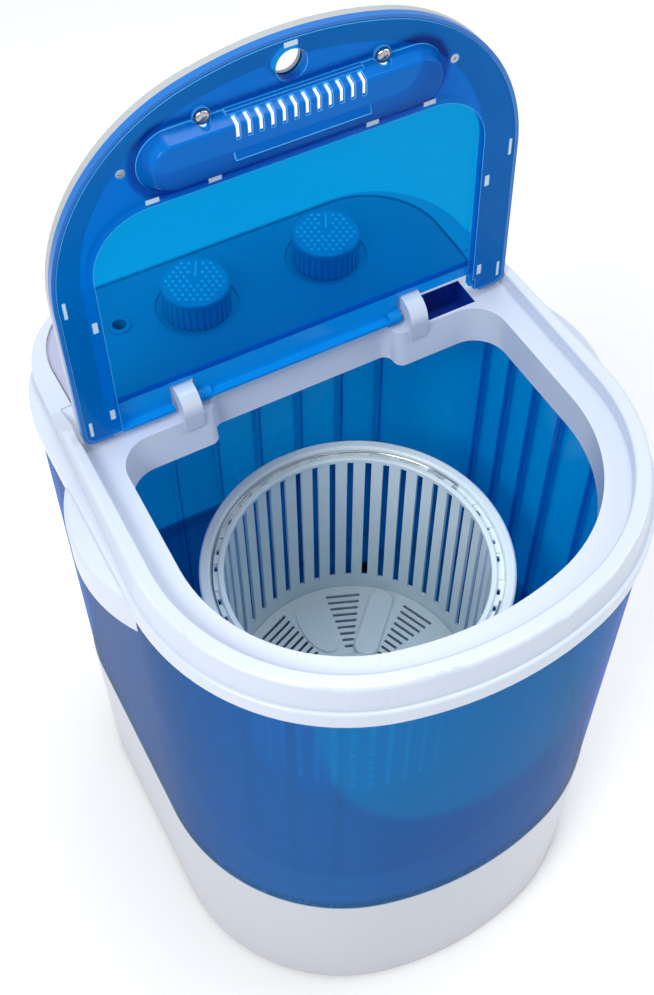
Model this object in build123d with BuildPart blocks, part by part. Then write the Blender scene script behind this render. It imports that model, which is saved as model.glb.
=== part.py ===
from build123d import *
import os
from math import asin, atan2, cos, degrees, radians, sin

os.makedirs("parts", exist_ok=True)

# Frame: millimetres, Z up, floor at z = 0, the rounded front faces -Y, x = 0 is the middle.

# Driving dimensions of the body
BODY_WIDTH = 350.0
BODY_DEPTH = 400.0
RIM_TOP_Z = 480.0
SEAM_Z = 158.0
FOOT_HEIGHT = 4.0
FRONT_SHARE = 0.375
SIDE_ROUNDNESS = 0.973
LIP_REAR_R = 105.0
LIP_TAPER = 1.5
WALL = 3.0
OVERCUT = 1.0
NEAR = 0.1

# Plan curve of the body: a wide front arc, two side arcs, straight sides, round rear corners
HALF_WIDTH = BODY_WIDTH / 2
BACK_Y = BODY_DEPTH / 2
FRONT_LENGTH = BODY_DEPTH * FRONT_SHARE
WIDEST_Y = FRONT_LENGTH - BACK_Y
SIDE_ARC_R = SIDE_ROUNDNESS * FRONT_LENGTH
SIDE_ARC_X = HALF_WIDTH - SIDE_ARC_R
FRONT_ARC_R = (
    (HALF_WIDTH**2 - 2 * HALF_WIDTH * SIDE_ARC_R + FRONT_LENGTH**2)
    / (2 * (FRONT_LENGTH - SIDE_ARC_R))
)
FRONT_ARC_Y = FRONT_ARC_R - BACK_Y
FRONT_SWING = degrees(atan2(SIDE_ARC_X, FRONT_ARC_Y - WIDEST_Y))


def plan_face(inset, taper=LIP_TAPER, rear_inset=None, rear_r=None):
    """Face of the plan curve moved inwards by inset, its sides drawn in by taper at the rear."""
    if rear_inset is None:
        rear_inset = inset
    if rear_r is None:
        rear_r = LIP_REAR_R - inset
    side = HALF_WIDTH - inset
    rear_side = side - taper
    back = BACK_Y - rear_inset
    turn_x = rear_side - rear_r
    turn_y = back - rear_r
    side_r = SIDE_ARC_R - inset
    side_swing = 90 - FRONT_SWING
    with BuildSketch(Plane.XY) as plan:
        with BuildLine():
            CenterArc((0, FRONT_ARC_Y), FRONT_ARC_R - inset, 270 - FRONT_SWING, 2 * FRONT_SWING)
            CenterArc((SIDE_ARC_X, WIDEST_Y), side_r, 270 + FRONT_SWING, side_swing)
            Line((side, WIDEST_Y), (rear_side, turn_y))
            CenterArc((turn_x, turn_y), rear_r, 0, 90)
            Line((turn_x, back), (-turn_x, back))
            CenterArc((-turn_x, turn_y), rear_r, 90, 90)
            Line((-rear_side, turn_y), (-side, WIDEST_Y))
            CenterArc((-SIDE_ARC_X, WIDEST_Y), side_r, 180, side_swing)
        make_face()
    return plan.sketch


def finish(part, name):
    """Name a finished piece and write its file."""
    part.label = name
    export_step(part, "parts/" + name + ".step")


# Lower shell: outer wall, the deck that carries the tub, screw posts
BASE_INSET = 1.8
BASE_BOTTOM_INSET = 2.8
DECK_TOP_Z = 150.0
DECK_THICKNESS = 4.0
LOCATING_RIM = 6.0
CASING_INSET = 2.4
RIM_GAP = 0.3
BASKET_FROM_BACK = 219.0
BASKET_Y = BACK_Y - BASKET_FROM_BACK
SHAFT_R = 6.0
BEARING_R = 16.0
PLATE_THICKNESS = 3.0
POST_R = 7.0
POST_FROM_SIDE = 60.0
POST_X = HALF_WIDTH - POST_FROM_SIDE
POST_FROM_FRONT = 105.0
POST_FRONT_Y = POST_FROM_FRONT - BACK_Y
POST_FROM_BACK = 75.0
POST_REAR_Y = BACK_Y - POST_FROM_BACK
SCREW_R = 2.0
SCREW_LENGTH = 12.0
DRAIN_X = 70.0
DRAIN_FROM_BACK = 120.0
DRAIN_Y = BACK_Y - DRAIN_FROM_BACK
DRAIN_R = 9.0
DRAIN_BORE_R = 6.5
SPIGOT_Z = 62.0
GLAND_X = -75.0
GLAND_Z = 52.0
GLAND_R = 7.0
PLATE_TOP_Z = FOOT_HEIGHT + PLATE_THICKNESS
DECK_BOTTOM_Z = DECK_TOP_Z - DECK_THICKNESS
post_spots = [
    (POST_X, POST_FRONT_Y),
    (-POST_X, POST_FRONT_Y),
    (POST_X, POST_REAR_Y),
    (-POST_X, POST_REAR_Y),
]
rim_inset = CASING_INSET + WALL + RIM_GAP
back_wall = Plane((0, BACK_Y, 0), x_dir=(-1, 0, 0), z_dir=(0, 1, 0))
side_wall = Plane((HALF_WIDTH, 0, 0), x_dir=(0, 1, 0), z_dir=(1, 0, 0))

with BuildPart() as base_shell:
    with BuildSketch(Plane.XY.offset(FOOT_HEIGHT)):
        add(plan_face(BASE_BOTTOM_INSET))
    with BuildSketch(Plane.XY.offset(SEAM_Z)):
        add(plan_face(BASE_INSET))
    loft(ruled=True)
    with BuildSketch(Plane.XY.offset(FOOT_HEIGHT)):
        add(plan_face(BASE_BOTTOM_INSET + WALL))
    extrude(amount=DECK_BOTTOM_Z - FOOT_HEIGHT, mode=Mode.SUBTRACT)
    with BuildSketch(Plane.XY.offset(DECK_TOP_Z)):
        add(plan_face(rim_inset + WALL))
    extrude(amount=SEAM_Z - DECK_TOP_Z, mode=Mode.SUBTRACT)
    with BuildSketch(Plane.XY.offset(SEAM_Z)):
        add(plan_face(rim_inset))
        add(plan_face(rim_inset + WALL), mode=Mode.SUBTRACT)
    extrude(amount=LOCATING_RIM)
    with BuildSketch(Plane.XY.offset(PLATE_TOP_Z)):
        with Locations(*post_spots):
            Circle(POST_R)
    extrude(amount=DECK_BOTTOM_Z - PLATE_TOP_Z)
    with BuildSketch(Plane.XY.offset(PLATE_TOP_Z)):
        with Locations(*post_spots):
            Circle(SCREW_R)
    extrude(amount=SCREW_LENGTH, mode=Mode.SUBTRACT)
    with BuildSketch(Plane.XY.offset(DECK_BOTTOM_Z)):
        with Locations((0, BASKET_Y)):
            Circle(BEARING_R)
        with Locations((DRAIN_X, DRAIN_Y)):
            Circle(DRAIN_R)
    extrude(amount=DECK_THICKNESS, mode=Mode.SUBTRACT)
    with BuildSketch(side_wall):
        with Locations((DRAIN_Y, SPIGOT_Z)):
            Circle(DRAIN_R)
    extrude(amount=-4 * WALL, mode=Mode.SUBTRACT)
    with BuildSketch(back_wall):
        with Locations((-GLAND_X, GLAND_Z)):
            Circle(GLAND_R)
    extrude(amount=-4 * WALL, mode=Mode.SUBTRACT)
finish(base_shell.part, "base_shell")

# Bottom plate with air slots and a sunk seat for each screw
PLATE_GAP = 0.4
HEAD_R = 4.0
HEAD_HEIGHT = 1.6
AIR_SLOT_LENGTH = 70.0
AIR_SLOT_WIDTH = 5.0
AIR_SLOT_PITCH = 14.0
AIR_SLOT_COUNT = 5
FOOT_R = 13.0
FOOT_FROM_SIDE = 80.0
FOOT_X = HALF_WIDTH - FOOT_FROM_SIDE
FOOT_FROM_FRONT = 70.0
FOOT_FRONT_Y = FOOT_FROM_FRONT - BACK_Y
FOOT_FROM_BACK = 45.0
FOOT_REAR_Y = BACK_Y - FOOT_FROM_BACK
FOOT_STEM_R = 4.0
FOOT_ROUND = 1.0
foot_spots = [
    (FOOT_X, FOOT_FRONT_Y),
    (-FOOT_X, FOOT_FRONT_Y),
    (FOOT_X, FOOT_REAR_Y),
    (-FOOT_X, FOOT_REAR_Y),
]

with BuildPart() as base_plate:
    with BuildSketch(Plane.XY.offset(FOOT_HEIGHT)):
        add(plan_face(BASE_BOTTOM_INSET + WALL + PLATE_GAP))
        with Locations(*post_spots):
            Circle(SCREW_R, mode=Mode.SUBTRACT)
        with Locations(*foot_spots):
            Circle(FOOT_STEM_R, mode=Mode.SUBTRACT)
        with GridLocations(0, AIR_SLOT_PITCH, 1, AIR_SLOT_COUNT):
            SlotOverall(AIR_SLOT_LENGTH, AIR_SLOT_WIDTH, mode=Mode.SUBTRACT)
    extrude(amount=PLATE_THICKNESS)
    with BuildSketch(Plane.XY.offset(FOOT_HEIGHT)):
        with Locations(*post_spots):
            Circle(HEAD_R)
    extrude(amount=HEAD_HEIGHT, mode=Mode.SUBTRACT)
finish(base_plate.part, "base_plate")

with BuildPart() as base_screws:
    with BuildSketch(Plane.XY.offset(FOOT_HEIGHT)):
        with Locations(*post_spots):
            Circle(HEAD_R)
    extrude(amount=HEAD_HEIGHT)
    with BuildSketch(Plane.XY.offset(FOOT_HEIGHT + HEAD_HEIGHT)):
        with Locations(*post_spots):
            Circle(SCREW_R)
    extrude(amount=PLATE_THICKNESS - HEAD_HEIGHT + SCREW_LENGTH)
finish(base_screws.part, "base_screws")

with BuildPart() as base_feet:
    with BuildSketch(Plane.XY):
        with Locations(*foot_spots):
            Circle(FOOT_R)
    extrude(amount=FOOT_HEIGHT)
    fillet(base_feet.edges().group_by(Axis.Z)[0], radius=FOOT_ROUND)
    with BuildSketch(Plane.XY.offset(FOOT_HEIGHT)):
        with Locations(*foot_spots):
            Circle(FOOT_STEM_R)
    extrude(amount=PLATE_THICKNESS)
finish(base_feet.part, "base_feet")

# See-through casing between the base and the collar
CASING_TOP_Z = 456.0

with BuildPart() as outer_casing:
    with BuildSketch(Plane.XY.offset(SEAM_Z)):
        add(plan_face(CASING_INSET))
        add(plan_face(CASING_INSET + WALL), mode=Mode.SUBTRACT)
    extrude(amount=CASING_TOP_Z - SEAM_Z)
finish(outer_casing.part, "outer_casing")

# Tub: flat-backed in plan, floor and wall with upright ribs, its edge under the collar
TUB_INSET = 24.0
TUB_WALL = 2.5
TUB_TOP_Z = 464.0
TUB_FROM_BACK = 94.0
TUB_BACK_Y = BACK_Y - TUB_FROM_BACK
TUB_BACK_R = 36.0
TUB_CORNER_R = 14.0
RIB_WIDTH = 4.0
RIB_DEPTH = 3.5
RIB_ROOT = 2.0
RIB_FOOT_Z = 166.0
SIDE_RIB_Y = 8.0
SIDE_RIB_PITCH = 30.0
SIDE_RIBS = 4
BACK_RIB_PITCH = 34.0
BACK_RIBS = 6
FRONT_RIB_STEP = 15.0
FRONT_RIBS = 4
tub_inner = TUB_INSET + TUB_WALL
rib_centre = (RIB_DEPTH - RIB_ROOT) / 2
rib_side_x = HALF_WIDTH - tub_inner - LIP_TAPER - rib_centre
rib_back_y = TUB_BACK_Y - TUB_WALL - rib_centre
rib_arc_r = SIDE_ARC_R - tub_inner - rib_centre
front_rib_swing = FRONT_RIBS * FRONT_RIB_STEP


with BuildPart() as tub_space:
    with BuildSketch(Plane.XY.offset(DECK_TOP_Z + TUB_WALL)):
        add(plan_face(tub_inner, LIP_TAPER, BACK_Y - TUB_BACK_Y + TUB_WALL, TUB_BACK_R - TUB_WALL))
    extrude(amount=TUB_TOP_Z - DECK_TOP_Z)
    fillet(tub_space.edges().group_by(Axis.Z)[0], radius=TUB_CORNER_R - TUB_WALL)

with BuildPart() as wash_tub:
    with BuildSketch(Plane.XY.offset(DECK_TOP_Z)):
        add(plan_face(TUB_INSET, LIP_TAPER, BACK_Y - TUB_BACK_Y, TUB_BACK_R))
    extrude(amount=TUB_TOP_Z - DECK_TOP_Z)
    fillet(wash_tub.edges().group_by(Axis.Z)[0], radius=TUB_CORNER_R)
    add(tub_space.part, mode=Mode.SUBTRACT)
    with BuildSketch(Plane.XY.offset(RIB_FOOT_Z)):
        with Locations((rib_side_x, SIDE_RIB_Y), (-rib_side_x, SIDE_RIB_Y)):
            with GridLocations(0, SIDE_RIB_PITCH, 1, SIDE_RIBS):
                Rectangle(RIB_DEPTH + RIB_ROOT, RIB_WIDTH)
        with Locations((0, rib_back_y)):
            with GridLocations(BACK_RIB_PITCH, 0, BACK_RIBS, 1):
                Rectangle(RIB_WIDTH, RIB_DEPTH + RIB_ROOT)
        with Locations((SIDE_ARC_X, WIDEST_Y)):
            with PolarLocations(rib_arc_r, FRONT_RIBS, -FRONT_RIB_STEP, -front_rib_swing):
                Rectangle(RIB_DEPTH + RIB_ROOT, RIB_WIDTH)
        with Locations((-SIDE_ARC_X, WIDEST_Y)):
            with PolarLocations(rib_arc_r, FRONT_RIBS, 180 + FRONT_RIB_STEP, front_rib_swing):
                Rectangle(RIB_DEPTH + RIB_ROOT, RIB_WIDTH)
    extrude(amount=TUB_TOP_Z - RIB_FOOT_Z)
    with BuildSketch(Plane.XY.offset(DECK_TOP_Z)):
        with Locations((0, BASKET_Y)):
            Circle(BEARING_R)
        with Locations((DRAIN_X, DRAIN_Y)):
            Circle(DRAIN_BORE_R)
    extrude(amount=TUB_WALL, mode=Mode.SUBTRACT)
finish(wash_tub.part, "wash_tub")

# Collar: lip over the casing, sloping skirt, raised rim, lid seat, opening, hinge lugs, handles
LIP_BOTTOM_Z = 448.0
LIP_TOP_Z = 461.0
LIP_ROUND = 2.0
SKIRT_INSET = 3.0
SKIRT_TAPER = 10.0
SKIRT_REAR_INSET = 7.0
SKIRT_REAR_R = 70.0
RIM_INSET = 6.6
RIM_TAPER = 7.0
RIM_REAR_INSET = 9.5
RIM_REAR_R = 68.0
RIM_ROUND = 3.0
SEAT_Z = 469.0
SEAT_INSET = 17.2
SEAT_TAPER = 2.0
SEAT_ROUND = 1.5
SEAT_END_FROM_BACK = 100.0
SEAT_END_Y = BACK_Y - SEAT_END_FROM_BACK
CONSOLE_Z = 470.0
RIM_DROP_FROM_BACK = 128.0
RIM_DROP_Y = BACK_Y - RIM_DROP_FROM_BACK
RIM_DROP_LENGTH = 26.0
CASING_FIT = 0.35
CAVITY_INSET = 8.5
CAVITY_ROOF_Z = 464.0
OPENING_INSET = 34.5
OPENING_TOP_FROM_BACK = 147.0
OPENING_TOP_Y = BACK_Y - OPENING_TOP_FROM_BACK
OPENING_DRAFT = 5.0
OPENING_CORNER_R = 24.0
BAY_SIDES = 216.0
BAY_WIDTH = BODY_WIDTH - BAY_SIDES
BAY_DEPTH = 14.0
BAY_R = 6.8
OPENING_BOTTOM_Z = 441.8
OPENING_WALL = 3.0
LUG_FROM_SIDE = 91.5
LUG_X = HALF_WIDTH - LUG_FROM_SIDE
LUG_WIDTH = 13.0
LUG_R = 14.0
HINGE_FROM_BACK = 136.0
HINGE_Y = BACK_Y - HINGE_FROM_BACK
HINGE_Z = 475.5
PIN_R = 2.5
PIN_PLAY = 0.06
POCKET_FROM_SIDE = 62.5
POCKET_X = HALF_WIDTH - POCKET_FROM_SIDE
POCKET_WIDTH = 37.0
POCKET_STEP = 2.5
POCKET_Y = HINGE_Y + POCKET_STEP
POCKET_LENGTH = 23.0
POCKET_DEPTH = 20.0
POCKET_WALL = 2.0
HANDLE_STEP = 53.0
HANDLE_Y = WIDEST_Y + HANDLE_STEP
HANDLE_REACH = 13.0
HANDLE_CURVE_R = 98.0
HANDLE_BOTTOM_Z = 424.0
HANDLE_TOP_Z = 457.0
HANDLE_WALL = 3.0
HANDLE_ROUND = 5.0
PANEL_FRONT_FROM_BACK = 112.0
PANEL_FRONT_Y = BACK_Y - PANEL_FRONT_FROM_BACK
PANEL_BACK_FROM_BACK = 11.0
PANEL_BACK_Y = BACK_Y - PANEL_BACK_FROM_BACK
PANEL_FROM_SIDE = 28.0
PANEL_HALF_WIDTH = HALF_WIDTH - PANEL_FROM_SIDE
PANEL_REAR_R = 56.0
PANEL_FRONT_R = 6.0
PANEL_THICKNESS = 3.0
PANEL_GAP = 1.2
PANEL_BOTTOM_Z = CONSOLE_Z - PANEL_THICKNESS
KNOB_LEFT_X = -38.3
KNOB_RIGHT_X = 61.5
KNOB_FROM_BACK = 58.0
KNOB_Y = BACK_Y - KNOB_FROM_BACK
SHAFT_HOLE_R = 4.2
INLET_FROM_SIDE = 82.0
INLET_X = INLET_FROM_SIDE - HALF_WIDTH
INLET_FROM_BACK = 51.0
INLET_Y = BACK_Y - INLET_FROM_BACK
INLET_R = 6.5
LUG_FOOT_Z = 462.0


def opening_face(back_y, grow):
    """Face of the opening's plan: round back corners and a bay between the hinge lugs."""
    with BuildSketch(Plane.XY) as plan:
        add(plan_face(OPENING_INSET - grow, LIP_TAPER, BACK_Y - back_y - grow, OPENING_CORNER_R + grow))
        with Locations((0, back_y + grow - BAY_DEPTH / 2)):
            Rectangle(BAY_WIDTH + 2 * grow, BAY_DEPTH * 3)
        fillet(plan.vertices().group_by(Axis.Y)[-1], radius=BAY_R)
        turns = plan.vertices().filter_by_position(Axis.Y, back_y + grow - NEAR, back_y + grow + NEAR)
        fillet(turns.sort_by(lambda v: abs(v.X))[:2], radius=BAY_R)
    return plan.sketch


def panel_face(grow):
    """Face of the control panel's plan, grown by a gap."""
    with BuildSketch(Plane.XY) as plan:
        with Locations((0, (PANEL_BACK_Y + PANEL_FRONT_Y) / 2)):
            Rectangle(2 * (PANEL_HALF_WIDTH + grow), PANEL_BACK_Y - PANEL_FRONT_Y + 2 * grow)
        fillet(plan.vertices().group_by(Axis.Y)[-1], radius=PANEL_REAR_R + grow)
        fillet(plan.vertices().group_by(Axis.Y)[0], radius=PANEL_FRONT_R + grow)
    return plan.sketch


with BuildPart() as opening_space:
    with BuildSketch(Plane.XY.offset(OPENING_BOTTOM_Z)):
        add(opening_face(OPENING_TOP_Y - OPENING_DRAFT, 0))
    with BuildSketch(Plane.XY.offset(SEAT_Z)):
        add(opening_face(OPENING_TOP_Y, 0))
    loft(ruled=True)

with BuildPart() as opening_wall:
    with BuildSketch(Plane.XY.offset(OPENING_BOTTOM_Z)):
        add(opening_face(OPENING_TOP_Y - OPENING_DRAFT, OPENING_WALL))
    with BuildSketch(Plane.XY.offset(SEAT_Z)):
        add(opening_face(OPENING_TOP_Y, OPENING_WALL))
    loft(ruled=True)

with BuildPart() as top_collar:
    with BuildSketch(Plane.XY.offset(LIP_BOTTOM_Z)):
        add(plan_face(0))
    extrude(amount=LIP_TOP_Z - LIP_BOTTOM_Z)
    fillet(top_collar.edges().group_by(Axis.Z)[-1], radius=LIP_ROUND)
    with BuildSketch(Plane.XY.offset(LIP_TOP_Z)):
        add(plan_face(SKIRT_INSET, SKIRT_TAPER, SKIRT_REAR_INSET, SKIRT_REAR_R))
    with BuildSketch(Plane.XY.offset(RIM_TOP_Z)):
        add(plan_face(RIM_INSET, RIM_TAPER, RIM_REAR_INSET, RIM_REAR_R))
    loft(ruled=True)
    fillet(top_collar.edges().group_by(Axis.Z)[-1], radius=RIM_ROUND)
    with BuildSketch(Plane.XY.offset(SEAT_Z)):
        add(plan_face(SEAT_INSET, SEAT_TAPER))
        with Locations((0, SEAT_END_Y - BODY_DEPTH / 2)):
            Rectangle(BODY_WIDTH, BODY_DEPTH, mode=Mode.INTERSECT)
    extrude(amount=RIM_TOP_Z - SEAT_Z, mode=Mode.SUBTRACT)
    fillet(top_collar.edges().group_by(Axis.Z)[-1].sort_by(SortBy.LENGTH), radius=SEAT_ROUND)
    with BuildSketch(Plane.YZ.offset(-HALF_WIDTH)):
        with BuildLine():
            Polyline(
                (RIM_DROP_Y, RIM_TOP_Z + OVERCUT),
                (RIM_DROP_Y, RIM_TOP_Z),
                (RIM_DROP_Y + RIM_DROP_LENGTH, CONSOLE_Z),
                (BACK_Y, CONSOLE_Z),
                (BACK_Y, RIM_TOP_Z + OVERCUT),
                close=True,
            )
        make_face()
    extrude(amount=BODY_WIDTH, mode=Mode.SUBTRACT)
    with BuildSketch(Plane.XY.offset(LIP_BOTTOM_Z)):
        add(plan_face(CASING_INSET - CASING_FIT))
    extrude(amount=CASING_TOP_Z - LIP_BOTTOM_Z, mode=Mode.SUBTRACT)
    with BuildSketch(Plane.XY.offset(CASING_TOP_Z)):
        add(plan_face(CAVITY_INSET, SKIRT_TAPER))
    extrude(amount=CAVITY_ROOF_Z - CASING_TOP_Z, mode=Mode.SUBTRACT)
    add(opening_wall.part)
    with BuildSketch(Plane.XY.offset(SEAT_Z)):
        with Locations((POCKET_X, POCKET_Y)):
            Rectangle(POCKET_WIDTH + 2 * POCKET_WALL, POCKET_LENGTH + 2 * POCKET_WALL)
    extrude(amount=-POCKET_DEPTH - POCKET_WALL)
    with BuildSketch(Plane.XY.offset(SEAT_Z)):
        with Locations((POCKET_X, POCKET_Y)):
            Rectangle(POCKET_WIDTH, POCKET_LENGTH)
    extrude(amount=-POCKET_DEPTH, mode=Mode.SUBTRACT)
    add(opening_space.part, mode=Mode.SUBTRACT)
    for lug_x in (-LUG_X, LUG_X):
        with BuildSketch(Plane.YZ.offset(lug_x - LUG_WIDTH / 2)):
            with Locations((HINGE_Y, HINGE_Z)):
                Circle(LUG_R)
            with Locations((HINGE_Y, (HINGE_Z + LUG_FOOT_Z) / 2)):
                Rectangle(2 * LUG_R, HINGE_Z - LUG_FOOT_Z)
            with Locations((HINGE_Y, HINGE_Z)):
                Circle(PIN_R + PIN_PLAY, mode=Mode.SUBTRACT)
        extrude(amount=LUG_WIDTH)
    for side in (-1, 1):
        with BuildSketch(Plane.XY.offset(HANDLE_BOTTOM_Z)):
            with Locations((side * (HALF_WIDTH + HANDLE_REACH - HANDLE_CURVE_R), HANDLE_Y)):
                Circle(HANDLE_CURVE_R)
            with Locations((side * (BODY_WIDTH - CASING_INSET + CASING_FIT), HANDLE_Y)):
                Rectangle(BODY_WIDTH, BODY_WIDTH, mode=Mode.INTERSECT)
        extrude(amount=HANDLE_TOP_Z - HANDLE_BOTTOM_Z)
    rims = top_collar.edges().filter_by_position(Axis.Z, HANDLE_TOP_Z - NEAR, HANDLE_TOP_Z + NEAR)
    fillet(rims.filter_by(GeomType.CIRCLE), radius=HANDLE_ROUND)
    for side in (-1, 1):
        with BuildSketch(Plane.XY.offset(HANDLE_BOTTOM_Z)):
            with Locations((side * (HALF_WIDTH + HANDLE_REACH - HANDLE_CURVE_R), HANDLE_Y)):
                Circle(HANDLE_CURVE_R - HANDLE_WALL)
            with Locations((side * (BODY_WIDTH - CASING_INSET + CASING_FIT), HANDLE_Y)):
                Rectangle(BODY_WIDTH, BODY_WIDTH, mode=Mode.INTERSECT)
        extrude(amount=LIP_BOTTOM_Z - HANDLE_BOTTOM_Z, mode=Mode.SUBTRACT)
    with BuildSketch(Plane.XY.offset(PANEL_BOTTOM_Z)):
        add(panel_face(PANEL_GAP))
    extrude(amount=RIM_TOP_Z - PANEL_BOTTOM_Z, mode=Mode.SUBTRACT)
    with BuildSketch(Plane.XY.offset(CAVITY_ROOF_Z)):
        with Locations((KNOB_LEFT_X, KNOB_Y), (KNOB_RIGHT_X, KNOB_Y)):
            Circle(SHAFT_HOLE_R)
        with Locations((INLET_X, INLET_Y)):
            Circle(INLET_R)
    extrude(amount=PANEL_THICKNESS, mode=Mode.SUBTRACT)
finish(top_collar.part, "top_collar")

# Control panel: a flat plate with a shallow round well under each knob
WELL_R = 29.0
WELL_DEPTH = 1.5
PANEL_EDGE = 1.2
well_z = CONSOLE_Z - WELL_DEPTH

with BuildPart() as control_panel:
    with BuildSketch(Plane.XY.offset(PANEL_BOTTOM_Z)):
        add(panel_face(0))
    extrude(amount=PANEL_THICKNESS)
    chamfer(control_panel.edges().group_by(Axis.Z)[-1], length=PANEL_EDGE)
    with BuildSketch(Plane.XY.offset(well_z)):
        with Locations((KNOB_LEFT_X, KNOB_Y), (KNOB_RIGHT_X, KNOB_Y)):
            Circle(WELL_R)
    extrude(amount=WELL_DEPTH, mode=Mode.SUBTRACT)
    with BuildSketch(Plane.XY.offset(PANEL_BOTTOM_Z)):
        with Locations((KNOB_LEFT_X, KNOB_Y), (KNOB_RIGHT_X, KNOB_Y)):
            Circle(SHAFT_HOLE_R)
        with Locations((INLET_X, INLET_Y)):
            Circle(INLET_R)
    extrude(amount=PANEL_THICKNESS, mode=Mode.SUBTRACT)
finish(control_panel.part, "control_panel")

# Water inlet: a flanged tube through panel and console
INLET_FLANGE_R = 8.0
INLET_FLANGE = 1.5
INLET_BORE_R = 4.8
INLET_EDGE = 0.5
INLET_BOTTOM_Z = 436.0

with BuildPart() as water_inlet:
    with BuildSketch(Plane.XY.offset(INLET_BOTTOM_Z)):
        with Locations((INLET_X, INLET_Y)):
            Circle(INLET_R)
    extrude(amount=CONSOLE_Z - INLET_BOTTOM_Z)
    with BuildSketch(Plane.XY.offset(CONSOLE_Z)):
        with Locations((INLET_X, INLET_Y)):
            Circle(INLET_FLANGE_R)
    extrude(amount=INLET_FLANGE)
    chamfer(water_inlet.edges().group_by(Axis.Z)[-1], length=INLET_EDGE)
    with BuildSketch(Plane.XY.offset(INLET_BOTTOM_Z)):
        with Locations((INLET_X, INLET_Y)):
            Circle(INLET_BORE_R)
    extrude(amount=CONSOLE_Z + INLET_FLANGE - INLET_BOTTOM_Z, mode=Mode.SUBTRACT)
finish(water_inlet.part, "water_inlet")

# Two knobs, each on its own shaft that turns in a switch unit under the console
KNOB_R = 23.5
KNOB_TOP_Z = 492.0
KNOB_CLEAR = 0.8
KNOB_ROUND = 2.0
GRIP_COUNT = 32
GRIP_R = 1.1
KNOB_SHAFT_R = 3.5
SHAFT_PLAY = 0.06
SHAFT_GRIP = 16.0
UNIT_SIZE = 44.0
UNIT_HEIGHT = 22.0
UNIT_CORNER_R = 4.0
SHAFT_END_ROOM = 1.0
knob_bottom_z = well_z + KNOB_CLEAR
shaft_bottom_z = CAVITY_ROOF_Z - UNIT_HEIGHT / 2
shaft_top_z = knob_bottom_z + SHAFT_GRIP

for side_name, knob_x, unit_name in (
    ("left", KNOB_LEFT_X, "wash_timer"),
    ("right", KNOB_RIGHT_X, "mode_switch"),
):
    with BuildPart() as knob:
        with BuildSketch(Plane.XY.offset(knob_bottom_z)):
            with Locations((knob_x, KNOB_Y)):
                Circle(KNOB_R)
        extrude(amount=KNOB_TOP_Z - knob_bottom_z)
        fillet(knob.edges().group_by(Axis.Z)[-1], radius=KNOB_ROUND)
        with BuildSketch(Plane.XY.offset(knob_bottom_z)):
            with Locations((knob_x, KNOB_Y)):
                Circle(KNOB_SHAFT_R)
        extrude(amount=SHAFT_GRIP, mode=Mode.SUBTRACT)
        with BuildSketch(Plane.XY.offset(knob_bottom_z)):
            with Locations((knob_x, KNOB_Y)):
                with PolarLocations(KNOB_R, GRIP_COUNT):
                    Circle(GRIP_R)
        extrude(amount=KNOB_TOP_Z - knob_bottom_z - 2 * KNOB_ROUND, mode=Mode.SUBTRACT)
    finish(knob.part, "knob_" + side_name)
    with BuildPart() as knob_shaft:
        with BuildSketch(Plane.XY.offset(shaft_bottom_z)):
            with Locations((knob_x, KNOB_Y)):
                Circle(KNOB_SHAFT_R)
        extrude(amount=shaft_top_z - shaft_bottom_z)
    finish(knob_shaft.part, "knob_shaft_" + side_name)
    with BuildPart() as unit:
        with BuildSketch(Plane.XY.offset(CAVITY_ROOF_Z - UNIT_HEIGHT)):
            with Locations((knob_x, KNOB_Y)):
                RectangleRounded(UNIT_SIZE, UNIT_SIZE, UNIT_CORNER_R)
        extrude(amount=UNIT_HEIGHT)
        with BuildSketch(Plane.XY.offset(CAVITY_ROOF_Z)):
            with Locations((knob_x, KNOB_Y)):
                Circle(KNOB_SHAFT_R + SHAFT_PLAY)
        extrude(amount=-UNIT_HEIGHT / 2 - SHAFT_END_ROOM, mode=Mode.SUBTRACT)
    finish(unit.part, unit_name)

# Lid, shown open. Its own plane: y runs from the hinge edge to the front edge, z towards the tub
LID_LEAN = 2.0
LID_INSET = 20.0
LID_THICKNESS = 11.0
LID_HINGE_EDGE_STEP = 0.5
LID_HINGE_EDGE_Y = HINGE_Y + LID_HINGE_EDGE_STEP
LID_CLOSED_GAP = 0.4
LID_CORNER_R = 8.0
edge_back = LID_HINGE_EDGE_Y - HINGE_Y
edge_down = HINGE_Z - SEAT_Z - LID_CLOSED_GAP
lean_sin = sin(radians(LID_LEAN))
lean_cos = cos(radians(LID_LEAN))
lid_edge_y = HINGE_Y - edge_back * lean_sin - edge_down * lean_cos
lid_edge_z = HINGE_Z - edge_back * lean_cos + edge_down * lean_sin
lid_plane = Plane((0, lid_edge_y, lid_edge_z), x_dir=(1, 0, 0), z_dir=(0, -lean_cos, lean_sin))
PIN_S = edge_back
PIN_T = -edge_down
NOTCH_SIDE_ROOM = 2.0
NOTCH_END_ROOM = 2.5
NOTCH_WIDTH = LUG_WIDTH + 2 * NOTCH_SIDE_ROOM
NOTCH_DEPTH = LUG_R + PIN_S + NOTCH_END_ROOM
OVERRUN = 20.0
SIDE_NOTCH_DEPTH = 12.0
side_notch_width = POCKET_X + POCKET_WIDTH / 2 - LUG_X
LID_HALF = HALF_WIDTH - LID_INSET
LID_LENGTH = LID_HINGE_EDGE_Y + BACK_Y - LID_INSET


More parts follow.
